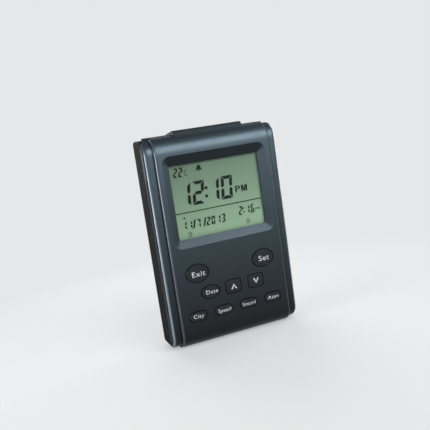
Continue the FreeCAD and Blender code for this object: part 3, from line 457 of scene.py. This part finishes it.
def slate_coat_and_painted_light(finish, across, inset):
    """The colour of the lacquer, with painted light on it: painted shade that darkens it towards
    the bottom, and painted highlights that make it paler on the upright edges.

    It carries more painted shade in the grooves beside the rails, under the brow of the display
    recess, in the key openings and close round the keys.
    """
    height = finish.axis("Z")
    flakes = finish.cells(FLAKE)
    full = finish.mix(flakes, tint(60, 72, 79), tint(75, 89, 97))
    shaded_lower_tone = finish.mix(flakes, tint(28, 31, 33), tint(36, 40, 42))
    # Painted shade: the lacquer goes from its upper tone to a darker one towards the bottom.
    rise = finish.within((height, PAINTED_SHADE_HEIGHTS))
    # Painted highlights along the upright edges of the rail and the panel, paler towards the
    # bottom.
    painted_edge_tone = finish.mix(rise, tint(108, 120, 131), tint(68, 77, 85))
    panel_highlight = finish.within(*((inset, limit) for limit in PANEL_HIGHLIGHT))
    panel_highlight = finish.faded(panel_highlight, PANEL_HIGHLIGHT_SHARE)
    edges = finish.calculate("MAXIMUM", finish.within((inset, RAIL_HIGHLIGHT)), panel_highlight)
    # Painted shade in the grooves beside the rails.
    groove_shade = finish.faded(finish.within(*((inset, limit) for limit in GROOVE_SHADE)), GROOVE_SHADE_SHARE)
    # Painted shade under the brow of the display recess.
    under = finish.span(finish.facing("Z"), *BROW_FACING)
    brow_shade = finish.within((height, BROW_FOOT), (height, BROW_TOP), (across, BROW_SIDE))
    # Painted shade on the walls of the key openings.
    depth = finish.calculate("SUBTRACT", finish.axis("Y"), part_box("front_cover")[0].y)
    opening_wall_shade = finish.within(
        (depth, WALL_DEPTH), (height, FIELD_FOOT), (height, FIELD_TOP), (across, FIELD_SIDE),
    )
    shades = [key_shade(finish, node, corner) for node, corner in KEY_CORNERS.items()]
    shade = finish.faded(finish.joined("MAXIMUM", shades), KEY_SHADE_SHARE)
    coat = finish.mix(edges, finish.mix(rise, shaded_lower_tone, full), painted_edge_tone)
    coat = finish.mix(groove_shade, coat, tint(18, 21, 23))
    coat = finish.mix(finish.calculate("MULTIPLY", under, brow_shade), coat, tint(35, 41, 46))
    coat = finish.mix(opening_wall_shade, coat, tint(7, 8, 9))
    return finish.mix(shade, coat, tint(14, 16, 18))


def cover_slate():
    """Slate lacquer with fine metal flake, sprayed on the front of a black moulding.

    It ends on the side of the cover, in a frayed line; the bare side beyond is near-black, darkened
    as painted shade.
    """
    finish = Finish("cover_slate", specular=0.15)
    across = finish.calculate("ABSOLUTE", finish.axis("X"))
    inset = finish.calculate("SUBTRACT", CAD_BOX[1].x, across)
    fray = finish.faded(finish.noise(0.5), SPRAY_FRAY * MM)
    # The bare side beyond the lacquer is bare moulding, near-black as painted shade on the upright
    # side.
    bare_shaded_side = finish.within((finish.calculate("SUBTRACT", inset, fray), SPRAY_EDGE))
    finish.colour(finish.mix(bare_shaded_side, slate_coat_and_painted_light(finish, across, inset), tint(4, 4, 5)))
    metal = finish.span(bare_shaded_side, 0.0, 1.0, COAT_METAL, 0.0)
    finish.links.new(metal, finish.shader.inputs["Metallic"])
    polish = finish.span(finish.noise(3.0), *CLOUD, -COAT_POLISH, COAT_POLISH)
    roughness = finish.span(bare_shaded_side, 0.0, 1.0, COAT_ROUGHNESS, BARE_ROUGHNESS)
    roughness = finish.calculate("ADD", roughness, polish)
    finish.links.new(roughness, finish.shader.inputs["Roughness"])
    finish.relief((finish.noise(0.9, 2.0), 0.004), (finish.cells(FLAKE), 0.0008))
    finish.shader.inputs["Coat Weight"].default_value = CLEAR_WEIGHT
    finish.shader.inputs["Coat Roughness"].default_value = CLEAR_ROUGHNESS
    return finish.material


def housing_black():
    """Black moulding with a fine spark-eroded grain, with painted shade that darkens its upright
    sides.
    """
    finish = Finish("housing_black", specular=0.04)
    grain = finish.noise(0.32, 4.0)
    # Painted shade: the upright sides of the housing are darker.
    side_shade = finish.span(finish.calculate("ABSOLUTE", finish.facing("X")), *SIDE_SHADE_FACING)
    plain = finish.mix(grain, tint(19, 20, 22), tint(33, 34, 37))
    painted_shade_tone = finish.mix(grain, tint(7, 8, 9), tint(14, 15, 17))
    finish.colour(finish.mix(side_shade, plain, painted_shade_tone))
    finish.gloss(finish.noise(2.5), 0.74, 0.88)
    finish.relief((finish.noise(5.0), 0.01), (grain, 0.035))
    return finish.material


def bar_black():
    """Dark slate moulding of the top bar, satin."""
    finish = Finish("bar_black", metallic=0.2, specular=0.12)
    grain = finish.noise(0.3, 3.0)
    finish.colour(finish.mix(grain, tint(36, 43, 48), tint(49, 57, 63)))
    finish.gloss(finish.noise(2.0), 0.6, 0.7)
    finish.relief((grain, 0.006))
    return finish.material


def key_dark():
    """Charcoal keys, satin, a little smoother where fingers rub, with painted shade on their edges.
    """
    finish = Finish("key_dark", specular=0.22)
    grain = finish.noise(0.3, 3.0)
    cap = finish.mix(grain, tint(19, 25, 29), tint(31, 38, 43))
    # Painted shade on the edges of the keys.
    painted_edge_tone = finish.span(finish.facing("Y"), *KEY_EDGE_SHADE_FACING)
    finish.colour(finish.mix(painted_edge_tone, cap, tint(5, 6, 7)))
    finish.gloss(finish.noise(4.0), 0.36, 0.5)
    finish.relief((grain, 0.008))
    return finish.material


def legend_white():
    """Pad-printed ink, slightly uneven."""
    finish = Finish("legend_white", roughness=0.55, specular=0.3)
    patch = finish.noise(0.5, 4.0)
    finish.colour(finish.mix(patch, tint(168, 174, 178), tint(192, 196, 199)))
    finish.relief((patch, 0.004))
    return finish.material


def window_clear():
    """Clear moulded window with faint rub marks."""
    finish = Finish("window_clear", specular=0.5)
    rub = finish.noise(6.0, 3.0, (1, 1, 4))
    finish.colour(finish.mix(rub, tint(40, 44, 42), tint(60, 64, 62)))
    finish.gloss(rub, 0.03, 0.09)
    finish.relief((finish.noise(12.0, 1.0), 0.003))
    finish.shader.inputs["Alpha"].default_value = WINDOW_COVER
    return finish.material


def lcd_glass():
    """Grey-green reflective film with the tooth of its polariser, with painted shade that darkens
    it towards the top.
    """
    finish = Finish("lcd_glass", specular=0.15)
    tooth = finish.noise(0.12, 2.0)
    low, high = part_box("lcd_panel")
    start, end = low.z + GLASS_SHADE_FADE[0] * MM, high.z - GLASS_SHADE_FADE[1] * MM
    # Painted shade: the glass darkens towards the top.
    height = finish.span(finish.axis("Z"), start, end)
    pale = finish.mix(tooth, tint(151, 185, 154), tint(161, 195, 162))
    painted_shade_tone = finish.mix(tooth, tint(108, 134, 114), tint(118, 144, 122))
    finish.colour(finish.mix(height, pale, painted_shade_tone))
    finish.gloss(finish.noise(5.0), 0.4, 0.5)
    finish.relief((tooth, 0.0015))
    return finish.material


def lcd_ink():
    """Energised crystal, nearly black with a green cast."""
    finish = Finish("lcd_ink", specular=0.1)
    patch = finish.noise(0.6, 2.0)
    finish.colour(finish.mix(patch, tint(12, 16, 12), tint(22, 27, 20)))
    finish.gloss(patch, 0.4, 0.5)
    finish.relief((patch, 0.002))
    return finish.material


def light_guide():
    """Milky guide plate with a faint dot grid that lets its light out."""
    finish = Finish("light_guide", roughness=0.3)
    dots = finish.stripes(0.9, "Z")
    finish.colour(finish.mix(dots, tint(218, 230, 220), tint(236, 242, 236)))
    finish.relief((finish.stripes(0.9, "X"), 0.01), (dots, 0.01))
    return finish.material


def led_resin():
    """Clear lamp resin with a pale phosphor cloud."""
    finish = Finish("led_resin", roughness=0.2)
    finish.colour(finish.mix(finish.noise(0.8), tint(214, 224, 190), tint(236, 238, 224)))
    finish.relief((finish.noise(0.5), 0.01))
    return finish.material


def moulded_black(name, dark, light, roughness):
    """Plain black moulding with a fine grain."""
    finish = Finish(name, specular=0.35)
    grain = finish.noise(0.4, 4.0)
    finish.colour(finish.mix(grain, tint(*dark), tint(*light)))
    finish.gloss(finish.noise(2.0), *(roughness + stray for stray in MOULDING_GLOSS))
    finish.relief((grain, 0.015))
    return finish.material


def frame_black():
    """The frame that holds the glass."""
    return moulded_black("frame_black", (24, 24, 25), (36, 36, 38), 0.55)


def switch_plastic():
    """The body of the switch under the bar."""
    return moulded_black("switch_plastic", (34, 34, 34), (50, 49, 47), 0.45)


def resin_black():
    """Chip resin, smoother than a moulding."""
    return moulded_black("resin_black", (18, 18, 19), (30, 30, 31), 0.3)


def strip_rubber():
    """Connector strip: conducting layers, very fine, between pink rubber."""
    finish = Finish("strip_rubber", roughness=0.7, specular=0.25)
    layers = finish.stripes(0.2, "X")
    finish.colour(finish.mix(layers, tint(36, 30, 32), tint(176, 110, 118)))
    finish.relief((layers, 0.01))
    return finish.material


def board_green():
    """Board under green solder mask, with the weave and the copper runs faintly proud."""
    finish = Finish("board_green", specular=0.5)
    weave = finish.stripes(WEAVE_PITCH, "X")
    across = finish.span(finish.stripes(RUN_PITCH, "Z", "TRI"), *RUNS_ACROSS)
    along = finish.span(finish.noise(7.0, 1.0, (1, 1, 0.15)), *RUNS_ALONG)
    mask = finish.mix(finish.noise(4.0), tint(16, 78, 46), tint(22, 92, 54))
    runs = finish.mix(across, mask, tint(42, 122, 74))
    finish.colour(finish.mix(along, runs, tint(34, 112, 66)))
    finish.gloss(finish.noise(3.0), 0.22, 0.34)
    finish.relief((weave, 0.006), (across, 0.03))
    return finish.material


def bright_metal(name, dark, light, roughness, grain=1.2, depth=0.004):
    """Plated metal with faint drawing marks."""
    finish = Finish(name, metallic=1.0)
    marks = finish.noise(grain, 4.0, (1, 1, 0.2))
    finish.colour(finish.mix(marks, tint(*dark), tint(*light)))
    finish.gloss(marks, *(roughness + stray for stray in METAL_GLOSS))
    finish.relief((marks, depth))
    return finish.material


def tin_plate():
    """The can of the clock crystal."""
    return bright_metal("tin_plate", (186, 186, 182), (214, 213, 208), 0.24)


def can_aluminium():
    """The cans of the capacitors."""
    return bright_metal("can_aluminium", (180, 183, 187), (208, 210, 213), 0.3)


def spring_steel():
    """The springs of the cells, drawn fine."""
    return bright_metal("spring_steel", (176, 176, 172), (206, 205, 200), 0.25, 0.5)


def contact_nickel():
    """The contact plates of the cells."""
    return bright_metal("contact_nickel", (184, 182, 172), (214, 211, 200), 0.22, 1.6)


def screw_steel():
    """Darker steel of the screws."""
    return bright_metal("screw_steel", (118, 119, 122), (156, 157, 160), 0.36, 0.4)


def speaker_steel():
    """The pressed basket of the speaker."""
    return bright_metal("speaker_steel", (164, 164, 160), (192, 191, 186), 0.38, 2.0, 0.008)


def magnet_ferrite():
    """Ground ferrite, dark grey with fine pits."""
    finish = Finish("magnet_ferrite", metallic=0.3, specular=0.4)
    pits = finish.noise(0.5, 5.0)
    finish.colour(finish.mix(pits, tint(58, 58, 59), tint(82, 82, 83)))
    finish.gloss(finish.noise(2.0), 0.5, 0.65)
    finish.relief((pits, 0.02))
    return finish.material


def cone_paper():
    """Pressed black paper with fibres and shallow rings."""
    finish = Finish("cone_paper", specular=0.2)
    fibre = finish.noise(0.5, 5.0, (1, 1, 3))
    low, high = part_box("speaker_cone")
    centre = ((low.x + high.x) / 2, 0.0, (low.z + high.z) / 2)
    finish.colour(finish.mix(fibre, tint(30, 29, 28), tint(56, 54, 51)))
    finish.gloss(fibre, 0.75, 0.9)
    finish.relief((finish.rings(1.6, centre), 0.08), (fibre, 0.02))
    return finish.material


def bead_brown():
    """Dipped temperature bead."""
    finish = Finish("bead_brown", roughness=0.3)
    finish.colour(finish.mix(finish.noise(0.6), tint(96, 58, 34), tint(124, 78, 46)))
    finish.relief((finish.noise(0.8), 0.02))
    return finish.material


def mat_silicone():
    """Grey silicone sheet with a dusty surface."""
    finish = Finish("mat_silicone", specular=0.3)
    dust = finish.noise(0.8, 5.0)
    finish.colour(finish.mix(dust, tint(148, 151, 151), tint(170, 172, 171)))
    finish.gloss(dust, 0.6, 0.78)
    finish.relief((dust, 0.012))
    return finish.material


def cell_sleeve():
    """Plain two-tone sleeves with bare steel ends; each band marks the end with the nub."""
    finish = Finish("cell_sleeve", specular=0.5)
    low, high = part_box("battery_cells")
    height = finish.axis("Z")
    from_top = finish.calculate("SUBTRACT", high.z, height)
    from_foot = finish.calculate("SUBTRACT", height, low.z)
    right = finish.within((finish.axis("X"), CELL_PARTING))
    top_band = finish.within((from_top, CELL_BAND))
    foot_band = finish.within((from_foot, CELL_BAND))
    band = finish.mix(right, top_band, foot_band)
    body = finish.mix(finish.noise(1.5), tint(38, 46, 60), tint(46, 54, 70))
    sleeve = finish.mix(band, body, tint(196, 128, 58))
    ends = finish.within((finish.calculate("MINIMUM", from_top, from_foot), CELL_END))
    finish.colour(finish.mix(ends, sleeve, tint(186, 186, 182)))
    finish.links.new(ends, finish.shader.inputs["Metallic"])
    finish.gloss(finish.noise(1.2), 0.22, 0.32)
    finish.relief((finish.noise(1.5), 0.0015))
    return finish.material


def wire_sleeve():
    """Soft sleeves of the speaker leads: one red, one black."""
    finish = Finish("wire_sleeve", specular=0.4)
    low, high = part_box("speaker_leads")
    from_middle = finish.calculate("SUBTRACT", finish.axis("X"), (low.x + high.x) / 2)
    black = finish.within((from_middle, LEAD_PARTING))
    red = finish.mix(finish.noise(1.0), tint(150, 22, 24), tint(172, 30, 30))
    finish.colour(finish.mix(black, red, tint(22, 22, 23)))
    finish.gloss(finish.noise(0.8), 0.32, 0.44)
    finish.relief((finish.noise(1.5), 0.01))
    return finish.material


CAD_FINISHES = (
    cover_slate, housing_black, bar_black, key_dark, window_clear, lcd_glass, light_guide,
    led_resin, frame_black, switch_plastic, resin_black, strip_rubber, board_green, tin_plate,
    can_aluminium, spring_steel, contact_nickel, screw_steel, speaker_steel, magnet_ferrite,
    cone_paper, bead_brown, mat_silicone, cell_sleeve, wire_sleeve,
)


def dress_nodes():
    """Gives each CAD node the finish of the slot that its record names."""
    finishes = {make.__name__: make() for make in CAD_FINISHES}
    for part in frame["record"]["subparts"]:
        mesh = frame["nodes"][part["node"]].data
        mesh.materials.clear()
        mesh.materials.append(finishes[part["material_slot"]])


# --------------------------------------------------------------------------- pieces


def keep_piece(name, bm, material, body):
    """Makes the mesh a piece that rides on a body."""
    bmesh.ops.recalc_face_normals(bm, faces=bm.faces)
    mesh = bpy.data.meshes.new(name)
    bm.to_mesh(mesh)
    bm.free()
    mesh.materials.append(material)
    piece = bpy.data.objects.new(name, mesh)
    bpy.context.scene.collection.objects.link(piece)
    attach(piece, body)


def add_outline(bm, points):
    """A flat face through the points (x, z), in millimetres, facing the reader."""
    bm.faces.new([bm.verts.new((x * MM, 0, z * MM)) for x, z in points])


def thicken(bm, front, back):
    """Gives flat faces a body from y = front to y = back."""
    for vert in bm.verts:
        vert.co.y = front
    grown = bmesh.ops.extrude_face_region(bm, geom=bm.faces[:])
    verts = [item for item in grown["geom"] if isinstance(item, bmesh.types.BMVert)]
    bmesh.ops.translate(bm, verts=verts, vec=(0, back - front, 0))


# The strokes of each figure: a at the top, then b to f clockwise, and g in the middle.
SEGMENTS_ON = {
    "0": "abcdef", "1": "bc", "2": "abged", "3": "abgcd", "6": "afgedc", "7": "abc",
}
SEGMENT_GAP = 0.1


def segment_outlines(width, height, stroke):
    """The seven strokes of a figure, as outlines from its lower left corner."""
    gap = stroke * SEGMENT_GAP
    middle, half = height / 2, stroke / 2
    left, right = stroke + gap, width - stroke - gap
    top = ((gap, height), (width - gap, height), (right, height - stroke), (left, height - stroke))
    bar = (
        (gap + half, middle), (left, middle + half), (right, middle + half),
        (width - half - gap, middle), (right, middle - half), (left, middle - half),
    )
    upper_left = (
        (0, height - gap), (stroke, height - stroke - gap), (stroke, middle + half + gap),
        (half, middle + gap), (0, middle + half + gap),
    )
    return {
        "a": top,
        "b": tuple((width - x, z) for x, z in upper_left),
        "c": tuple((width - x, height - z) for x, z in upper_left),
        "d": tuple((x, height - z) for x, z in top),
        "e": tuple((x, height - z) for x, z in upper_left),
        "f": upper_left,
        "g": bar,
    }


def add_figures(bm, figures, foot, width, height, stroke):
    """Seven-stroke figures in a row on one foot line."""
    outlines = segment_outlines(width, height, stroke)
    lean = math.tan(FIGURE_LEAN)
    for figure, left in figures:
        for segment in SEGMENTS_ON[figure]:
            add_outline(bm, [(left + x + z * lean, foot + z) for x, z in outlines[segment]])


def add_bar(bm, x, z, width, height, run=0.0):
    """A flat bar from its lower left corner at (x, z), its top moved to the right by the run."""
    top = z + height
    add_outline(bm, ((x, z), (x + width, z), (x + width + run, top), (x + run, top)))


def add_disc(bm, x, z, radius, sides=24):
    """A flat round."""
    turn = [2 * math.pi * step / sides for step in range(sides)]
    add_outline(bm, [(x + radius * math.cos(a), z + radius * math.sin(a)) for a in turn])


def words(text, left, foot, width, height, weight=LETTER_WEIGHT):
    """Letters as flat faces, set to the given box, in millimetres; tails hang below the foot."""
    curve = bpy.data.curves.new("letters", "FONT")
    curve.body = text
    curve.offset = weight
    curve.space_character = LETTER_GAP
    curve.resolution_u = 4
    holder = bpy.data.objects.new("letters", curve)
    bpy.context.scene.collection.objects.link(holder)
    bpy.context.view_layer.update()
    mesh = bpy.data.meshes.new_from_object(holder)
    bm = bmesh.new()
    bm.from_mesh(mesh)
    bpy.data.objects.remove(holder)
    bpy.data.curves.remove(curve)
    bpy.data.meshes.remove(mesh)
    bmesh.ops.remove_doubles(bm, verts=bm.verts, dist=1e-5)
    xs = [vert.co.x for vert in bm.verts]
    ys = [vert.co.y for vert in bm.verts]
    for vert in bm.verts:
        x = left + (vert.co.x - min(xs)) / (max(xs) - min(xs)) * width
        z = foot + vert.co.y / max(ys) * height
        vert.co = (x * MM, 0, z * MM)
    return bm


def half_day_words(left, foot, width, height):
    """The letters PM, the M drawn with even strokes."""
    bm = words("P", left, foot, width * P_SHARE, height, P_WEIGHT * LETTER_WEIGHT)
    start, stroke = left + width * M_START, width * M_STROKE
    end, middle = left + width, left + width * (1 + M_START) / 2
    half_foot, top = stroke * M_HALF_FOOT, stroke * M_TOP
    points = (
        (start, 0), (start + stroke, 0), (start + stroke, M_MEETING), (middle - half_foot, 0),
        (middle + half_foot, 0), (end - stroke, M_MEETING), (end - stroke, 0), (end, 0), (end, 1),
        (end - top, 1), (middle, M_NOTCH), (start + top, 1), (start, 1),
    )
    add_outline(bm, [(x, foot + share * height) for x, share in points])
    return bm


# --------------------------------------------------------------------------- the display

DISPLAY_Z = sum(corner.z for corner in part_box("display_window")) / 2
GLASS_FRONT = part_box("lcd_panel")[0].y


def print_on_glass(name, bm, ink):
    """Sets flat figures or marks on the front of the glass, as one piece."""
    thicken(bm, -INK_RISE * MM, INK_SUNK * MM)
    bmesh.ops.translate(bm, verts=bm.verts, vec=(0, GLASS_FRONT, DISPLAY_Z))
    keep_piece(name, bm, ink, "case")


def display_pieces(ink):
    """Time, date, next call and temperature on the glass, then its rule, letters and marks."""
    bm = bmesh.new()
    add_figures(bm, BIG_FIGURES, BIG_FOOT, BIG_WIDTH, BIG_HEIGHT, BIG_STROKE)
    for z in BIG_COLON_Z:
        add_disc(bm, BIG_COLON_X + z * math.tan(FIGURE_LEAN), z, BIG_DOT / 2)
    print_on_glass("time_figures", bm, ink)
    bm = bmesh.new()
    add_figures(bm, DATE_FIGURES, DATE_FOOT, SMALL_WIDTH, DATE_HEIGHT, SMALL_STROKE)
    for x in DATE_SLASHES:
        add_bar(bm, x, DATE_FOOT, SMALL_STROKE, DATE_HEIGHT, DATE_SLASH_RUN)
    print_on_glass("date_figures", bm, ink)
    bm = bmesh.new()
    add_figures(bm, PRAYER_FIGURES, PRAYER_FOOT, SMALL_WIDTH, PRAYER_HEIGHT, SMALL_STROKE)
    for z in PRAYER_COLON_Z:
        add_disc(bm, PRAYER_COLON_X, z, PRAYER_DOT / 2)
    print_on_glass("prayer_figures", bm, ink)
    bm = bmesh.new()
    add_figures(bm, WARMTH_FIGURES, WARMTH_FOOT, SMALL_WIDTH, WARMTH_HEIGHT, SMALL_STROKE)
    print_on_glass("warmth_figures", bm, ink)
    bm = bmesh.new()
    add_bar(bm, -RULE_LENGTH / 2, RULE_Z - RULE_WEIGHT / 2, RULE_LENGTH, RULE_WEIGHT)
    print_on_glass("display_rule", bm, ink)
    print_on_glass("degrees", words(*DEGREES), ink)
    for name, box in HALF_DAYS.items():
        print_on_glass(name, half_day_words(*box), ink)
    bm = bmesh.new()
    add_outline(bm, [(BELL[0] + x, BELL[1] + z) for x, z in BELL_OUTLINE])
    add_disc(bm, *BELL, BELL_CLAPPER)
    for x, z, length in MARK_BARS:
        add_bar(bm, x, z, length, MARK_BAR_WEIGHT)
    add_disc(bm, *MARK_DOT)
    print_on_glass("display_marks", bm, ink)


# --------------------------------------------------------------------------- key legends


def node_tree(node):
    """A search tree over a node's faces."""
    mesh = frame["nodes"][node].data
    corners = [vert.co.copy() for vert in mesh.vertices]
    faces = [tuple(face.vertices) for face in mesh.polygons]
    return BVHTree.FromPolygons(corners, faces)


def lay_on(bm, node):
    """Lays flat letters on the domed front of a key and gives them their thickness.

    They are cut into small squares first, and each corner then drops on the key along Y.
    """
    tree = node_tree(node)
    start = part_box(node)[0].y - MM
    for axis, normal in ((0, Vector((1, 0, 0))), (2, Vector((0, 0, 1)))):
        low = min(vert.co[axis] for vert in bm.verts)
        high = max(vert.co[axis] for vert in bm.verts)
        for step in range(1, math.ceil((high - low) / (LAY_PITCH * MM))):
            cut = normal * (low + step * LAY_PITCH * MM)
            parts = bm.verts[:] + bm.edges[:] + bm.faces[:]
            bmesh.ops.bisect_plane(bm, geom=parts, dist=1e-7, plane_co=cut, plane_no=normal)
    grown = bmesh.ops.extrude_face_region(bm, geom=bm.faces[:])
    back = {item for item in grown["geom"] if isinstance(item, bmesh.types.BMVert)}
    for vert in bm.verts:
        hit = tree.ray_cast(Vector((vert.co.x, start, vert.co.z)), Vector((0, 1, 0)))[0]
        vert.co.y = hit.y + (LEGEND_SUNK if vert in back else -LEGEND_RISE) * MM


def arrow_mesh(node, upward):
    """An open chevron in the middle of its key."""
    low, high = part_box(node)
    x, z = (low.x + high.x) / 2 / MM, (low.z + high.z) / 2 / MM
    rise = ARROW_HEIGHT / 2 if upward else -ARROW_HEIGHT / 2
    half = ARROW_WIDTH / 2
    inner = rise * (1 - ARROW_STROKE * ARROW_NOTCH / half)
    foot = z - rise
    bm = bmesh.new()
    add_outline(bm, (
        (x - half, foot), (x, z + rise), (x + half, foot), (x + half - ARROW_STROKE, foot),
        (x, z + inner), (x - half + ARROW_STROKE, foot),
    ))
    bmesh.ops.triangulate(bm, faces=bm.faces)
    return bm


def key_legends(ink):
    """The word or the arrow on each key."""
    legends = [(node, words(*word)) for node, word in KEY_WORDS.items()]
    legends += [(node, arrow_mesh(node, upward)) for node, upward in ARROWS.items()]
    for node, bm in legends:
        lay_on(bm, node)
        keep_piece(node + "_legend", bm, ink, node)


# --------------------------------------------------------------------------- surroundings


def shown(tree):
    """1 for what the eye, gloss and glass see, 0 for the light that falls on things."""
    path = tree.nodes.new("ShaderNodeLightPath")
    total = path.outputs["Is Camera Ray"]
    for ray in ("Is Glossy Ray", "Is Transmission Ray"):
        add = tree.nodes.new("ShaderNodeMath")
        add.use_clamp = True
        tree.links.new(total, add.inputs[0])
        tree.links.new(path.outputs[ray], add.inputs[1])
        total = add.outputs["Value"]
    return total


def stage_floor():
    """A plain pale floor that runs out into the background."""
    finish = Finish("floor_pale", roughness=0.8, specular=0.15)
    finish.colour(finish.mix(finish.noise(60.0), tint(200, 201, 202), tint(206, 207, 207)))
    away = finish.span(finish.vector("LENGTH", finish.place), *FLOOR_FADE, FLOOR_LIFT, 1.0)
    share = finish.calculate("MULTIPLY", away, shown(finish.material.node_tree))
    glow = finish.nodes.new("ShaderNodeEmission")
    glow.inputs["Color"].default_value = BACKGROUND
    blend = finish.nodes.new("ShaderNodeMixShader")
    finish.links.new(share, blend.inputs["Fac"])
    finish.links.new(finish.shader.outputs["BSDF"], blend.inputs[1])
    finish.links.new(glow.outputs["Emission"], blend.inputs[2])
    finish.links.new(blend.outputs["Shader"], finish.nodes["Material Output"].inputs["Surface"])
    bm = bmesh.new()
    bmesh.ops.create_grid(bm, x_segments=8, y_segments=8, size=FLOOR_SIZE)
    mesh = bpy.data.meshes.new("floor")
    bm.to_mesh(mesh)
    bm.free()
    mesh.materials.append(finish.material)
    floor = bpy.data.objects.new("floor", mesh)
    bpy.context.scene.collection.objects.link(floor)


def soft_lamp(name, place, aim, width, height, power):
    """A rectangular softbox at a place, turned towards a point."""
    lamp = bpy.data.lights.new(name, "AREA")
    lamp.shape = "RECTANGLE"
    lamp.size = width
    lamp.size_y = height
    lamp.energy = power
    holder = bpy.data.objects.new(name, lamp)
    bpy.context.scene.collection.objects.link(holder)
    holder.location = place
    holder.rotation_euler = (Vector(place) - Vector(aim)).to_track_quat("Z", "Y").to_euler()
    holder.visible_camera = False


def light_studio():
    """A dim even room with a pale horizon, and softboxes in front, on both sides and behind."""
    world = bpy.data.worlds.new("studio")
    world.use_nodes = True
    tree = world.node_tree
    background = tree.nodes["Background"]
    background.inputs["Color"].default_value = DAYLIGHT
    background.inputs["Strength"].default_value = ROOM_LIGHT
    place = tree.nodes.new("ShaderNodeTexCoord")
    parts = tree.nodes.new("ShaderNodeSeparateXYZ")
    height = tree.nodes.new("ShaderNodeMapRange")
    height.inputs["From Min"].default_value = SKY_HEIGHTS[0]
    height.inputs["From Max"].default_value = SKY_HEIGHTS[1]
    tone = tree.nodes.new("ShaderNodeMix")
    tone.data_type = "RGBA"
    tone.inputs[6].default_value = BACKGROUND
    tone.inputs[7].default_value = UPPER_SKY
    pale = tree.nodes.new("ShaderNodeBackground")
    blend = tree.nodes.new("ShaderNodeMixShader")
    tree.links.new(place.outputs["Generated"], parts.inputs["Vector"])
    tree.links.new(parts.outputs["Z"], height.inputs["Value"])
    tree.links.new(height.outputs["Result"], tone.inputs["Factor"])
    tree.links.new(tone.outputs[2], pale.inputs["Color"])
    tree.links.new(shown(tree), blend.inputs["Fac"])
    tree.links.new(background.outputs["Background"], blend.inputs[1])
    tree.links.new(pale.outputs["Background"], blend.inputs[2])
    tree.links.new(blend.outputs["Shader"], tree.nodes["World Output"].inputs["Surface"])
    bpy.context.scene.world = world
    for lamp in LAMPS:
        soft_lamp(*lamp)


def place_camera():
    """The camera of the main view."""
    lens = bpy.data.cameras.new("camera")
    lens.lens = CAMERA_LENS
    lens.sensor_width = CAMERA_SENSOR
    camera = bpy.data.objects.new("camera", lens)
    bpy.context.scene.collection.objects.link(camera)
    camera.location = CAMERA_PLACE
    camera.rotation_euler = [math.radians(angle) for angle in CAMERA_TURN]
    bpy.context.scene.camera = camera


dress_nodes()
display_pieces(lcd_ink())
key_legends(legend_white())
stage_floor()
light_studio()
place_camera()
bpy.context.scene.view_settings.view_transform = "Standard"
